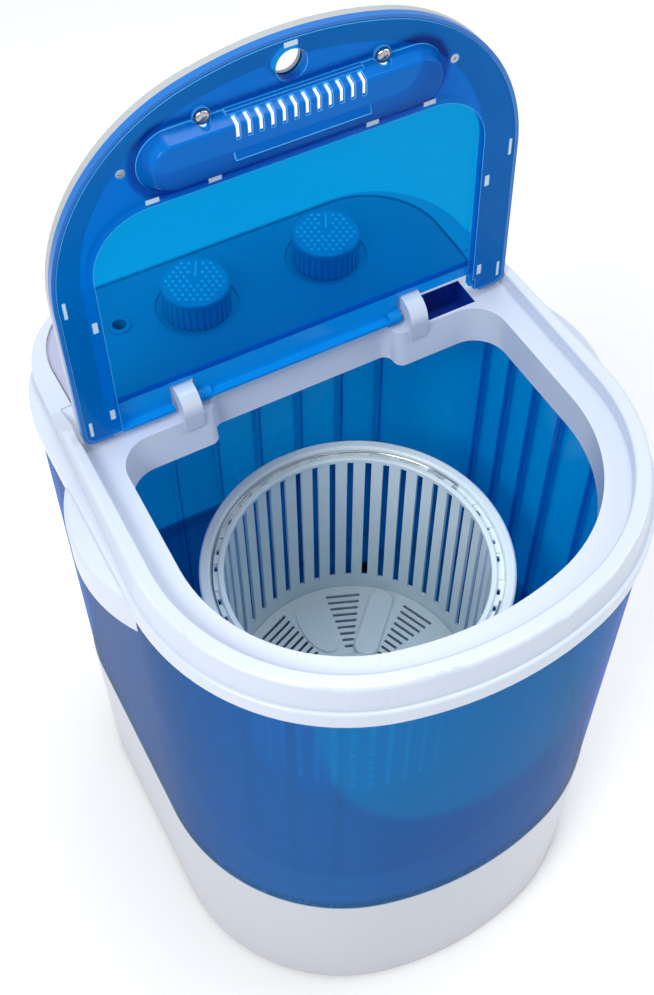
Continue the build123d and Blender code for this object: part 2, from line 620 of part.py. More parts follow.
def lid_face(inset):
    """Face of the lid's outline moved inwards by inset, in the lid's own plane."""
    side = LID_HALF - inset
    wide_s = LID_HINGE_EDGE_Y - WIDEST_Y
    front_s = LID_HINGE_EDGE_Y - FRONT_ARC_Y
    side_r = SIDE_ARC_R - LID_INSET - inset
    front_r = FRONT_ARC_R - LID_INSET - inset
    side_swing = 90 - FRONT_SWING
    with BuildSketch(Plane.XY) as plan:
        with BuildLine():
            CenterArc((0, front_s), front_r, 90 - FRONT_SWING, 2 * FRONT_SWING)
            CenterArc((SIDE_ARC_X, wide_s), side_r, 0, side_swing)
            Line((side, wide_s), (side, inset))
            Line((side, inset), (-side, inset))
            Line((-side, inset), (-side, wide_s))
            CenterArc((-SIDE_ARC_X, wide_s), side_r, 90 + FRONT_SWING, side_swing)
        make_face()
        fillet(plan.vertices().group_by(Axis.Y)[0], radius=LID_CORNER_R - inset / 4)
    return plan.sketch


def notch_face():
    """Face of the hinge notches, with the wider cut beside the right one."""
    with BuildSketch(Plane.XY) as plan:
        with Locations((-LUG_X, (NOTCH_DEPTH - OVERRUN) / 2), (LUG_X, (NOTCH_DEPTH - OVERRUN) / 2)):
            Rectangle(NOTCH_WIDTH, NOTCH_DEPTH + OVERRUN)
        with Locations((LUG_X + side_notch_width / 2, (SIDE_NOTCH_DEPTH - OVERRUN) / 2)):
            Rectangle(side_notch_width, SIDE_NOTCH_DEPTH + OVERRUN)
    return plan.sketch


def on_lid(depth):
    """The lid's plane moved to a depth: 0 is the inner face, -LID_THICKNESS the outer face."""
    return lid_plane.offset(depth)


def stadium(length, width, centre_s):
    """Face of a long round-ended shape across the lid."""
    with BuildSketch(Plane.XY) as plan:
        with Locations((0, centre_s)):
            SlotOverall(length, width)
    return plan.sketch


FRAME_PLATE = 2.5
FRAME_SKIRT = 2.2
FRAME_BAND = 20.0
FRAME_ROUND = 0.8
SKIRT_END = -0.6
POD_FROM_EDGE = 51.5
POD_S = LID_LENGTH - POD_FROM_EDGE
POD_LENGTH_STEP = 120.0
POD_LENGTH = 2 * LID_HALF - POD_LENGTH_STEP
POD_WIDTH = 40.0
POD_MOUTH = 8.0
HOLE_FROM_EDGE = 18.5
HOLE_S = LID_LENGTH - HOLE_FROM_EDGE
HOLE_R = 9.5
HOLE_LIP = 2.0
skirt_height = LID_THICKNESS - FRAME_PLATE + SKIRT_END
lid_cross = Plane(lid_plane.origin, x_dir=lid_plane.y_dir, z_dir=(1, 0, 0))
mouth_length = POD_LENGTH - 2 * POD_MOUTH
mouth_width = POD_WIDTH - POD_MOUTH

with BuildPart() as lid_frame:
    with BuildSketch(on_lid(-LID_THICKNESS)):
        add(lid_face(0))
        add(lid_face(FRAME_BAND), mode=Mode.SUBTRACT)
        with Locations((0, HOLE_S)):
            Circle(HOLE_R + HOLE_LIP)
    extrude(amount=FRAME_PLATE)
    fillet(lid_frame.edges().group_by(Axis((0, 0, 0), (0, -1, 0)))[0].sort_by(SortBy.LENGTH)[-1:], radius=FRAME_ROUND)
    with BuildSketch(on_lid(-LID_THICKNESS + FRAME_PLATE)):
        add(lid_face(0))
        add(lid_face(FRAME_SKIRT), mode=Mode.SUBTRACT)
    extrude(amount=skirt_height)
    with BuildSketch(on_lid(-LID_THICKNESS)):
        with Locations((0, (FRAME_BAND + LID_CORNER_R - OVERRUN) / 2)):
            Rectangle(2 * (LID_HALF - FRAME_BAND), FRAME_BAND + LID_CORNER_R + OVERRUN)
        add(notch_face())
        with Locations((0, HOLE_S)):
            Circle(HOLE_R)
    extrude(amount=LID_THICKNESS, mode=Mode.SUBTRACT)
finish(lid_frame.part, "lid_frame")

# Lid pane: a clear sheet under the frame's band, with a thick lip and two knuckles at the hinge edge
WINDOW_HALF_FROM_LID_SIDE = 26.0
WINDOW_HALF = LID_HALF - WINDOW_HALF_FROM_LID_SIDE
PANE_INSET = 8.0
PANE_THICKNESS = 2.0
LIP_END_GAP = 0.3
KNUCKLE_R = 5.2
KNUCKLE_LENGTH = 9.0
knuckle_x = LUG_X - NOTCH_WIDTH / 2 - KNUCKLE_LENGTH
lip_half = LID_HALF - FRAME_BAND - LIP_END_GAP
pane_depth = -LID_THICKNESS + FRAME_PLATE
liner_depth = pane_depth + PANE_THICKNESS

with BuildPart() as lid_window:
    with BuildSketch(on_lid(pane_depth)):
        add(lid_face(PANE_INSET))
        add(stadium(mouth_length, mouth_width, POD_S), mode=Mode.SUBTRACT)
        with Locations((0, HOLE_S)):
            Circle(HOLE_R, mode=Mode.SUBTRACT)
    extrude(amount=PANE_THICKNESS)
    with BuildSketch(on_lid(-LID_THICKNESS)):
        with Locations((0, FRAME_BAND / 2)):
            Rectangle(2 * lip_half, FRAME_BAND)
    extrude(amount=FRAME_PLATE + PANE_THICKNESS)
    with BuildSketch(on_lid(pane_depth)):
        with Locations((0, FRAME_SKIRT / 2)):
            Rectangle(2 * (WINDOW_HALF - LIP_END_GAP), FRAME_SKIRT)
    extrude(amount=skirt_height)
    with BuildSketch(on_lid(-LID_THICKNESS)):
        add(notch_face())
    extrude(amount=LID_THICKNESS, mode=Mode.SUBTRACT)
    for x in (-knuckle_x - KNUCKLE_LENGTH, knuckle_x):
        with BuildSketch(lid_cross.offset(x)):
            with Locations((PIN_S, PIN_T)):
                Circle(KNUCKLE_R)
        extrude(amount=KNUCKLE_LENGTH)
        with BuildSketch(lid_cross.offset(x)):
            with Locations((PIN_S, PIN_T)):
                Circle(PIN_R)
        extrude(amount=KNUCKLE_LENGTH, mode=Mode.SUBTRACT)
finish(lid_window.part, "lid_window")

# Liner: the tinted inner skin of the lid round a large window that is open at the hinge
LINER_INSET = 2.4
LINER_PLATE = 2.4
LINER_WALL = 2.0
WINDOW_TOP_FROM_EDGE = 78.5
WINDOW_TOP_S = LID_LENGTH - WINDOW_TOP_FROM_EDGE
WINDOW_CORNER_R = 38.0
END_SCREW_STEP = 8.5
END_SCREW_X = POD_LENGTH / 2 + END_SCREW_STEP
END_SCREW_OFFSET = 1.5
END_SCREW_S = POD_S + END_SCREW_OFFSET
END_SCREW_R = 2.8
END_SCREW_DEPTH = 2.0


def window_face(grow):
    """Face of the liner's window, grown by a wall, running off past the hinge edge."""
    with BuildSketch(Plane.XY) as plan:
        with Locations((0, (WINDOW_TOP_S + grow - OVERRUN) / 2)):
            Rectangle(2 * (WINDOW_HALF + grow), WINDOW_TOP_S + grow + OVERRUN)
        fillet(plan.vertices().group_by(Axis.Y)[-1], radius=WINDOW_CORNER_R + grow)
    return plan.sketch


# Clips: small hooks seen along the inner and outer edges of the liner
CLIP_LENGTH = 8.0
CLIP_WIDTH = 3.0
CLIP_DEPTH = 4.0
EDGE_CLIP_LENGTH = 12.0
EDGE_CLIP_WIDTH = 1.8
INNER_CLIP_STEP = 4.5
INNER_CLIP_X = WINDOW_HALF + INNER_CLIP_STEP
INNER_CLIP_LOW_S = 20.0
INNER_CLIP_HIGH_STEP = 71.0
INNER_CLIP_HIGH_S = WINDOW_TOP_S - INNER_CLIP_HIGH_STEP
TOP_CLIP_STEP = 4.0
TOP_CLIP_S = WINDOW_TOP_S + TOP_CLIP_STEP
TOP_CLIP_NEAR_X = 50.0
TOP_CLIP_FAR_X = 88.0
EDGE_CLIP_FROM_LID_SIDE = 6.2
EDGE_CLIP_X = LID_HALF - EDGE_CLIP_FROM_LID_SIDE
EDGE_CLIP_LOW_S = 14.0
EDGE_CLIP_HIGH_STEP = 1.0
EDGE_CLIP_HIGH_S = LID_HINGE_EDGE_Y - WIDEST_Y + EDGE_CLIP_HIGH_STEP
CROWN_CLIP_FROM_EDGE = 5.5
CROWN_CLIP_S = LID_LENGTH - CROWN_CLIP_FROM_EDGE
inner_clip_spots = [
    (INNER_CLIP_X, INNER_CLIP_LOW_S),
    (INNER_CLIP_X, INNER_CLIP_HIGH_S),
    (-INNER_CLIP_X, INNER_CLIP_LOW_S),
    (-INNER_CLIP_X, INNER_CLIP_HIGH_S),
]
edge_clip_spots = [
    (EDGE_CLIP_X, EDGE_CLIP_LOW_S),
    (EDGE_CLIP_X, EDGE_CLIP_HIGH_S),
    (-EDGE_CLIP_X, EDGE_CLIP_LOW_S),
    (-EDGE_CLIP_X, EDGE_CLIP_HIGH_S),
]
flat_clip_spots = [
    (TOP_CLIP_NEAR_X, TOP_CLIP_S),
    (TOP_CLIP_FAR_X, TOP_CLIP_S),
    (-TOP_CLIP_NEAR_X, TOP_CLIP_S),
    (-TOP_CLIP_FAR_X, TOP_CLIP_S),
    (0, CROWN_CLIP_S),
]

with BuildPart() as lid_clips:
    with BuildSketch(on_lid(-CLIP_DEPTH)):
        with Locations(*inner_clip_spots):
            Rectangle(CLIP_WIDTH, CLIP_LENGTH)
        with Locations(*edge_clip_spots):
            Rectangle(EDGE_CLIP_WIDTH, EDGE_CLIP_LENGTH)
        with Locations(*flat_clip_spots):
            Rectangle(CLIP_LENGTH, CLIP_WIDTH)
    extrude(amount=CLIP_DEPTH)
finish(lid_clips.part, "lid_clips")

with BuildPart() as lid_liner:
    with BuildSketch(on_lid(-LINER_PLATE)):
        add(lid_face(LINER_INSET))
        add(window_face(0), mode=Mode.SUBTRACT)
    extrude(amount=LINER_PLATE)
    with BuildSketch(on_lid(liner_depth)):
        add(lid_face(LINER_INSET))
        add(lid_face(LINER_INSET + LINER_WALL), mode=Mode.SUBTRACT)
        add(window_face(0), mode=Mode.SUBTRACT)
    extrude(amount=-liner_depth - LINER_PLATE)
    with BuildSketch(on_lid(liner_depth)):
        add(window_face(LINER_WALL))
        add(window_face(0), mode=Mode.SUBTRACT)
        add(lid_face(LINER_INSET), mode=Mode.INTERSECT)
    extrude(amount=-liner_depth - LINER_PLATE)
    with BuildSketch(on_lid(liner_depth)):
        with Locations((0, HOLE_S)):
            Circle(HOLE_R + LINER_WALL)
    extrude(amount=-liner_depth)
    with BuildSketch(on_lid(liner_depth)):
        add(stadium(mouth_length, mouth_width, POD_S))
        add(notch_face())
        with Locations((0, HOLE_S)):
            Circle(HOLE_R)
    extrude(amount=-liner_depth, mode=Mode.SUBTRACT)
    with BuildSketch(on_lid(-END_SCREW_DEPTH)):
        with Locations((-END_SCREW_X, END_SCREW_S), (END_SCREW_X, END_SCREW_S)):
            Circle(END_SCREW_R)
    extrude(amount=END_SCREW_DEPTH, mode=Mode.SUBTRACT)
    add(lid_clips.part, mode=Mode.SUBTRACT)
finish(lid_liner.part, "lid_liner")

with BuildPart() as pod_end_screws:
    with BuildSketch(on_lid(-END_SCREW_DEPTH)):
        with Locations((-END_SCREW_X, END_SCREW_S), (END_SCREW_X, END_SCREW_S)):
            Circle(END_SCREW_R)
    extrude(amount=END_SCREW_DEPTH)
finish(pod_end_screws.part, "pod_end_screws")

# Vent pod: a raised long cover on the liner with a sloping slotted face in the middle
POD_RISE = 11.0
POD_FACE_STEP = 2.0
POD_FACE_S = POD_S + POD_FACE_STEP
POD_DRAFT = 12.0
POD_WALL = 2.0
POD_ROUND = 2.5
GRILLE_HALF = 42.0
GRILLE_LOW_STEP = 5.0
GRILLE_LOW_S = POD_S - GRILLE_LOW_STEP
GRILLE_HIGH_STEP = 0.5
GRILLE_HIGH_S = POD_S + POD_WIDTH / 2 + GRILLE_HIGH_STEP
GRILLE_LOW_RISE = 13.0
GRILLE_HIGH_RISE = 3.0
VENT_COUNT = 12
VENT_PITCH = 7.0
VENT_WIDTH = 2.6
VENT_LOW_STEP = 7.0
VENT_LOW_S = POD_S + VENT_LOW_STEP
VENT_HIGH_STEP = 18.0
VENT_HIGH_S = POD_S + VENT_HIGH_STEP
EAR_X = 55.0
EAR_STEP = 1.5
EAR_S = POD_S + POD_WIDTH / 2 + EAR_STEP
EAR_R = 5.5
EAR_RISE = 1.5
POD_SCREW_R = 4.5
POD_SCREW_RISE = 2.5
SCREW_ROOM = 0.3
SCREW_EDGE = 0.4

with BuildPart() as vent_pod:
    with BuildSketch(on_lid(0)):
        add(stadium(POD_LENGTH, POD_WIDTH, POD_S))
    with BuildSketch(on_lid(POD_RISE)):
        add(stadium(POD_LENGTH - POD_DRAFT, POD_WIDTH - POD_DRAFT, POD_FACE_S))
    loft(ruled=True)
    fillet(vent_pod.edges().group_by(Axis((0, 0, 0), (0, -1, 0)))[-1], radius=POD_ROUND)
    with BuildSketch(lid_cross.offset(-GRILLE_HALF)):
        with BuildLine():
            Polyline(
                (GRILLE_LOW_S, 0),
                (GRILLE_LOW_S, GRILLE_LOW_RISE),
                (GRILLE_HIGH_S, GRILLE_HIGH_RISE),
                (GRILLE_HIGH_S, 0),
                close=True,
            )
        make_face()
    extrude(amount=2 * GRILLE_HALF)
    with BuildSketch(on_lid(0)):
        with Locations((-EAR_X, EAR_S), (EAR_X, EAR_S)):
            Circle(EAR_R)
    extrude(amount=EAR_RISE)
    with BuildSketch(on_lid(0)):
        add(stadium(POD_LENGTH - 2 * POD_WALL, POD_WIDTH - 2 * POD_WALL, POD_S))
    with BuildSketch(on_lid(POD_RISE - POD_WALL)):
        add(stadium(POD_LENGTH - POD_DRAFT - POD_WALL, POD_WIDTH - POD_DRAFT - POD_WALL, POD_FACE_S))
    loft(ruled=True, mode=Mode.SUBTRACT)
    with BuildSketch(lid_cross.offset(-GRILLE_HALF + POD_WALL)):
        with BuildLine():
            Polyline(
                (GRILLE_LOW_S + POD_WALL, 0),
                (GRILLE_LOW_S + POD_WALL, GRILLE_LOW_RISE - POD_WALL),
                (GRILLE_HIGH_S - POD_WALL, GRILLE_HIGH_RISE - POD_WALL),
                (GRILLE_HIGH_S - POD_WALL, 0),
                close=True,
            )
        make_face()
    extrude(amount=2 * (GRILLE_HALF - POD_WALL), mode=Mode.SUBTRACT)
    with BuildSketch(on_lid(EAR_RISE)):
        with Locations((0, (VENT_LOW_S + VENT_HIGH_S) / 2)):
            with GridLocations(VENT_PITCH, 0, VENT_COUNT, 1):
                Rectangle(VENT_WIDTH, VENT_HIGH_S - VENT_LOW_S)
    extrude(amount=GRILLE_LOW_RISE, mode=Mode.SUBTRACT)
    with BuildSketch(on_lid(EAR_RISE)):
        with Locations((-EAR_X, EAR_S), (EAR_X, EAR_S)):
            Circle(POD_SCREW_R + SCREW_ROOM)
    extrude(amount=POD_RISE, mode=Mode.SUBTRACT)
finish(vent_pod.part, "vent_pod")

with BuildPart() as pod_screws:
    with BuildSketch(on_lid(EAR_RISE)):
        with Locations((-EAR_X, EAR_S), (EAR_X, EAR_S)):
            Circle(POD_SCREW_R)
    extrude(amount=POD_SCREW_RISE)
    fillet(pod_screws.edges().group_by(Axis((0, 0, 0), (0, -1, 0)))[-1], radius=POD_SCREW_RISE - SCREW_EDGE)
finish(pod_screws.part, "pod_screws")

# Hinge pins, held in the pane's knuckles and turning in the collar's lugs
pin_start = knuckle_x
pin_end = LUG_X + LUG_WIDTH / 2

with BuildPart() as hinge_pins:
    for x in (-pin_end, pin_start):
        with BuildSketch(lid_cross.offset(x)):
            with Locations((PIN_S, PIN_T)):
                Circle(PIN_R)
        extrude(amount=pin_end - pin_start)
finish(hinge_pins.part, "hinge_pins")

# Spin basket: wall slotted up through the shelf that carries the ring, wide rolled rim
BASKET_TOP_R = 97.0
BASKET_WALL_DRAFT = 2.0
BASKET_SHELF_REACH = 7.5
BASKET_RIM_WIDTH = 8.1
BASKET_LEDGE_REACH = 7.0
BASKET_TOP_Z = 337.0
RIM_BOTTOM_Z = 330.0
RIM_WALL = 2.5
SHELF_Z = 331.0
BASKET_WALL = 2.5
BASKET_BOTTOM_Z = 157.0
BASE_LEDGE = 2.0
BASKET_ROUND = 2.0
SLOT_COUNT = 45
SLOT_WIDTH = 4.8
SLOT_LOW_Z = 177.0
BASKET_LOW_R = BASKET_TOP_R - BASKET_WALL_DRAFT
BASKET_RIM_INNER_R = BASKET_TOP_R + BASKET_SHELF_REACH
BASKET_RIM_R = BASKET_RIM_INNER_R + BASKET_RIM_WIDTH
LEDGE_INNER_R = BASKET_LOW_R - BASKET_LEDGE_REACH
shelf_bottom_z = SHELF_Z - RIM_WALL
base_z = BASKET_BOTTOM_Z + BASE_LEDGE
basket_axis = Axis((0, BASKET_Y, 0), (0, 0, 1))

with BuildPart() as spin_basket:
    with BuildSketch(Plane((0, BASKET_Y, 0), x_dir=(1, 0, 0), z_dir=(0, -1, 0))):
        with BuildLine():
            Polyline(
                (LEDGE_INNER_R, BASKET_BOTTOM_Z),
                (LEDGE_INNER_R, base_z),
                (BASKET_LOW_R, base_z),
                (BASKET_TOP_R, SHELF_Z),
                (BASKET_RIM_INNER_R, SHELF_Z),
                (BASKET_RIM_INNER_R, BASKET_TOP_Z),
                (BASKET_RIM_R, BASKET_TOP_Z),
                (BASKET_RIM_R, RIM_BOTTOM_Z),
                (BASKET_RIM_R - RIM_WALL, RIM_BOTTOM_Z),
                (BASKET_RIM_R - RIM_WALL, BASKET_TOP_Z - RIM_WALL),
                (BASKET_RIM_INNER_R + RIM_WALL, BASKET_TOP_Z - RIM_WALL),
                (BASKET_RIM_INNER_R + RIM_WALL, shelf_bottom_z),
                (BASKET_TOP_R + BASKET_WALL, shelf_bottom_z),
                (BASKET_LOW_R + BASKET_WALL, BASKET_BOTTOM_Z),
                close=True,
            )
        make_face()
    revolve(axis=basket_axis)
    fillet(spin_basket.edges().group_by(Axis.Z)[-1], radius=BASKET_ROUND)
    with BuildSketch(Plane.XY.offset(SLOT_LOW_Z)):
        with Locations((0, BASKET_Y)):
            with PolarLocations(BASKET_TOP_R, SLOT_COUNT):
                Rectangle(4 * BASKET_WALL, SLOT_WIDTH)
    extrude(amount=SHELF_Z + OVERCUT - SLOT_LOW_Z, mode=Mode.SUBTRACT)
finish(spin_basket.part, "spin_basket")

# Ring on the shelf: a low inner wall with short tabs that reach out to the rim
RING_BAND = 1.5
RING_WALL_TOP = 4.0
RING_LEAD = 2.0
RING_WALL = 4.0
RING_GAP = 0.3
RING_ROUND = 0.8
RING_TABS = 28
RING_WINDOW_LENGTH = 15.0
RING_WINDOW_STEP = 0.6
RING_INNER_R = BASKET_TOP_R - RING_LEAD
RING_WALL_R = RING_INNER_R + RING_WALL
ring_outer_r = BASKET_RIM_INNER_R - RING_GAP
window_reach = ring_outer_r - RING_WALL_R - RING_WINDOW_STEP

with BuildPart() as basket_ring:
    with BuildSketch(Plane.XY.offset(SHELF_Z)):
        with Locations((0, BASKET_Y)):
            Circle(ring_outer_r)
            Circle(RING_INNER_R, mode=Mode.SUBTRACT)
            with PolarLocations(ring_outer_r, RING_TABS):
                Rectangle(2 * window_reach, RING_WINDOW_LENGTH, mode=Mode.SUBTRACT)
    extrude(amount=RING_BAND)
    with BuildSketch(Plane.XY.offset(SHELF_Z + RING_BAND)):
        with Locations((0, BASKET_Y)):
            Circle(RING_WALL_R)
            Circle(RING_INNER_R, mode=Mode.SUBTRACT)
    extrude(amount=RING_WALL_TOP - RING_BAND)
    fillet(basket_ring.edges().group_by(Axis.Z)[-1], radius=RING_ROUND)
finish(basket_ring.part, "basket_ring")

# Snap ring: an open steel wire that holds the ring down inside the rim
SNAP_WIRE_R = 0.9
SNAP_GAP = 0.1
SNAP_START = 15.0
SNAP_SWING = 300.0
snap_r = BASKET_RIM_INNER_R - SNAP_GAP - SNAP_WIRE_R
snap_z = SHELF_Z + RING_BAND + SNAP_WIRE_R

with BuildPart() as snap_ring:
    with BuildLine(Plane.XY.offset(snap_z)) as wire:
        CenterArc((0, BASKET_Y), snap_r, SNAP_START, SNAP_SWING)
    with BuildSketch(Plane(wire.line @ 0, z_dir=wire.line % 0)):
        Circle(SNAP_WIRE_R)
    sweep()
finish(snap_ring.part, "snap_ring")

# Basket floor: four oval pads, four radial bars, eight fans of cross slots
FLOOR_GAP = 0.3
FLOOR_THICKNESS = 3.0
BOSS_R = 12.0
BOSS_BOTTOM_Z = 156.5
BOSS_TOP_Z = 170.0
BAR_WIDTH = 21.0
BAR_INNER_R = 26.0
BAR_OUTER_R = 92.0
BAR_HEIGHT = 5.0
BAR_ROUND = 2.5
BAR_COUNT = 4
PAD_WIDTH = 28.0
PAD_INNER_R = 34.0
PAD_OUTER_R = 91.0
PAD_HEIGHT = 2.0
FAN_COUNT = 8
FAN_SLOTS = 9
FAN_FIRST_R = 36.0
FAN_PITCH = 6.1
FAN_FIRST_LENGTH = 7.0
FAN_GROWTH = 2.7
FAN_SLOT_WIDTH = 2.4
floor_top_z = base_z + FLOOR_THICKNESS
floor_r = BASKET_LOW_R - FLOOR_GAP

with BuildPart() as basket_base:
    with BuildSketch(Plane.XY.offset(base_z)):
        with Locations((0, BASKET_Y)):
            Circle(floor_r)
    extrude(amount=FLOOR_THICKNESS)
    with BuildSketch(Plane.XY.offset(floor_top_z)):
        with Locations((0, BASKET_Y)):
            with PolarLocations((BAR_INNER_R + BAR_OUTER_R) / 2, BAR_COUNT, 180 / BAR_COUNT):
                SlotOverall(BAR_OUTER_R - BAR_INNER_R, BAR_WIDTH)
    extrude(amount=BAR_HEIGHT)
    fillet(basket_base.edges().group_by(Axis.Z)[-1], radius=BAR_ROUND)
    with BuildSketch(Plane.XY.offset(floor_top_z)):
        with Locations((0, BASKET_Y)):
            with PolarLocations((PAD_INNER_R + PAD_OUTER_R) / 2, BAR_COUNT):
                Ellipse((PAD_OUTER_R - PAD_INNER_R) / 2, PAD_WIDTH / 2)
    extrude(amount=PAD_HEIGHT)
    with BuildSketch(Plane.XY.offset(BOSS_BOTTOM_Z)):
        with Locations((0, BASKET_Y)):
            Circle(BOSS_R)
    extrude(amount=BOSS_TOP_Z - BOSS_BOTTOM_Z)
    with BuildSketch(Plane.XY.offset(base_z)):
        for row in range(FAN_SLOTS):
            with Locations((0, BASKET_Y)):
                with PolarLocations(FAN_FIRST_R + row * FAN_PITCH, FAN_COUNT, 180 / FAN_COUNT):
                    Rectangle(FAN_SLOT_WIDTH, FAN_FIRST_LENGTH + row * FAN_GROWTH)
    extrude(amount=FLOOR_THICKNESS, mode=Mode.SUBTRACT)
    with BuildSketch(Plane.XY.offset(BOSS_BOTTOM_Z)):
        with Locations((0, BASKET_Y)):
            Circle(SHAFT_R)
    extrude(amount=BOSS_TOP_Z - BOSS_BOTTOM_Z, mode=Mode.SUBTRACT)
finish(basket_base.part, "basket_base")

# Hub cap over the end of the shaft
CAP_R = 21.0
CAP_HEIGHT = 20.0
CAP_WALL = 2.5
CAP_ROUND = 8.0
CAP_ROOM = 1.0
cap_cavity_r = BOSS_R + CAP_ROOM

with BuildPart() as hub_cap:
    with BuildSketch(Plane.XY.offset(floor_top_z)):
        with Locations((0, BASKET_Y)):
            Circle(CAP_R)
    extrude(amount=CAP_HEIGHT)
    fillet(hub_cap.edges().group_by(Axis.Z)[-1], radius=CAP_ROUND)
    with BuildSketch(Plane.XY.offset(floor_top_z)):
        with Locations((0, BASKET_Y)):
            Circle(cap_cavity_r)
    extrude(amount=CAP_HEIGHT - CAP_WALL, mode=Mode.SUBTRACT)
finish(hub_cap.part, "hub_cap")

# Drive: shaft through seal and bearing, a large and a small pulley joined by a belt
PULLEY_BOTTOM_Z = 100.0
PULLEY_LIP = 2.0
BELT_HEIGHT = 8.0
BELT_THICKNESS = 4.0
BELT_GAP = 0.3
GROOVE_R = 50.0
MOTOR_GROOVE_R = 10.0
GROOVE_DEPTH = 5.0
MOTOR_STEP = 114.0
MOTOR_Y = BASKET_Y + MOTOR_STEP
MOTOR_R = 38.0
MOTOR_BOTTOM_Z = 22.0
MOTOR_SHAFT_R = 4.0
MOTOR_SHAFT_END = 14.0
MOTOR_END_ROOM = 2.0
BRACKET_TOP_Z = 96.0
BRACKET_THICKNESS = 3.0
BRACKET_LENGTH = 116.0
BRACKET_WIDTH = 90.0
BRACKET_POST_R = 5.0
BRACKET_HOLE_R = 8.0
END_BELL = 6.0
END_BELL_STEP = 4.0
RUN_PLAY = 0.06
SHAFT_TOP_Z = 174.0
SHAFT_EDGE = 1.0
SEAL_FLANGE_R = 20.0
SEAL_FLANGE = 2.0
BEARING_FLANGE_R = 22.0
BEARING_FLANGE = 5.0
PULLEY_HOLES = 6
PULLEY_HOLE_R = 9.0
PULLEY_HOLE_RING = 30.0
groove_z = PULLEY_BOTTOM_Z + PULLEY_LIP
belt_top_z = groove_z + BELT_HEIGHT
pulley_top_z = belt_top_z + PULLEY_LIP
bracket_bottom_z = BRACKET_TOP_Z - BRACKET_THICKNESS
bracket_post_x = BRACKET_LENGTH / 2 - 2 * BRACKET_POST_R
bracket_post_y = BRACKET_WIDTH / 2 - 2 * BRACKET_POST_R
belt_span = MOTOR_Y - BASKET_Y

with BuildPart() as drive_shaft:
    with BuildSketch(Plane.XY.offset(PULLEY_BOTTOM_Z - PULLEY_LIP)):
        with Locations((0, BASKET_Y)):
            Circle(SHAFT_R)
    extrude(amount=SHAFT_TOP_Z - PULLEY_BOTTOM_Z + PULLEY_LIP)
    chamfer(drive_shaft.edges().group_by(Axis.Z)[-1], length=SHAFT_EDGE)
finish(drive_shaft.part, "drive_shaft")

with BuildPart() as tub_seal:
    with BuildSketch(Plane.XY.offset(DECK_TOP_Z)):
        with Locations((0, BASKET_Y)):
            Circle(BEARING_R)
    extrude(amount=TUB_WALL)
    with BuildSketch(Plane.XY.offset(DECK_TOP_Z + TUB_WALL)):
        with Locations((0, BASKET_Y)):
            Circle(SEAL_FLANGE_R)
    extrude(amount=SEAL_FLANGE)
    with BuildSketch(Plane.XY.offset(DECK_TOP_Z)):
        with Locations((0, BASKET_Y)):
            Circle(SHAFT_R + RUN_PLAY)
    extrude(amount=TUB_WALL + SEAL_FLANGE, mode=Mode.SUBTRACT)
finish(tub_seal.part, "tub_seal")

with BuildPart() as shaft_bearing:
    with BuildSketch(Plane.XY.offset(DECK_BOTTOM_Z)):
        with Locations((0, BASKET_Y)):
            Circle(BEARING_R)
    extrude(amount=DECK_THICKNESS)
    with BuildSketch(Plane.XY.offset(DECK_BOTTOM_Z)):
        with Locations((0, BASKET_Y)):
            Circle(BEARING_FLANGE_R)
    extrude(amount=-BEARING_FLANGE)
    with BuildSketch(Plane.XY.offset(DECK_TOP_Z)):
        with Locations((0, BASKET_Y)):
            Circle(SHAFT_R + RUN_PLAY)
    extrude(amount=-DECK_THICKNESS - BEARING_FLANGE, mode=Mode.SUBTRACT)
finish(shaft_bearing.part, "shaft_bearing")

with BuildPart() as basket_pulley:
    for z, height, r in (
        (PULLEY_BOTTOM_Z, PULLEY_LIP, GROOVE_R + GROOVE_DEPTH),
        (groove_z, BELT_HEIGHT, GROOVE_R),
        (belt_top_z, PULLEY_LIP, GROOVE_R + GROOVE_DEPTH),
    ):
        with BuildSketch(Plane.XY.offset(z)):
            with Locations((0, BASKET_Y)):
                Circle(r)
                Circle(SHAFT_R, mode=Mode.SUBTRACT)
                with PolarLocations(PULLEY_HOLE_RING, PULLEY_HOLES):
                    Circle(PULLEY_HOLE_R, mode=Mode.SUBTRACT)
        extrude(amount=height)
finish(basket_pulley.part, "basket_pulley")

with BuildPart() as motor_pulley:
    for z, height, r in (
        (PULLEY_BOTTOM_Z, PULLEY_LIP, MOTOR_GROOVE_R + GROOVE_DEPTH),
        (groove_z, BELT_HEIGHT, MOTOR_GROOVE_R),
        (belt_top_z, PULLEY_LIP, MOTOR_GROOVE_R + GROOVE_DEPTH),
    ):
        with BuildSketch(Plane.XY.offset(z)):
            with Locations((0, MOTOR_Y)):
                Circle(r)
        extrude(amount=height)
    with BuildSketch(Plane.XY.offset(bracket_bottom_z - MOTOR_SHAFT_END)):
        with Locations((0, MOTOR_Y)):
            Circle(MOTOR_SHAFT_R)
    extrude(amount=PULLEY_BOTTOM_Z - bracket_bottom_z + MOTOR_SHAFT_END)
finish(motor_pulley.part, "motor_pulley")


def belt_loop(grow):
    """Face of a loop round both pulley grooves, grown by a gap or a thickness."""
    large_r = GROOVE_R + grow
    small_r = MOTOR_GROOVE_R + grow
    tilt = degrees(asin((large_r - small_r) / belt_span))
    with BuildSketch(Plane.XY) as plan:
        with BuildLine():
            CenterArc((0, BASKET_Y), large_r, 180 - tilt, 180 + 2 * tilt)
            CenterArc((0, MOTOR_Y), small_r, tilt, 180 - 2 * tilt)
            Line(
                (large_r * cos(radians(tilt)), BASKET_Y + large_r * sin(radians(tilt))),
                (small_r * cos(radians(tilt)), MOTOR_Y + small_r * sin(radians(tilt))),
            )
            Line(
                (-large_r * cos(radians(tilt)), BASKET_Y + large_r * sin(radians(tilt))),
                (-small_r * cos(radians(tilt)), MOTOR_Y + small_r * sin(radians(tilt))),
            )
        make_face()
    return plan.sketch


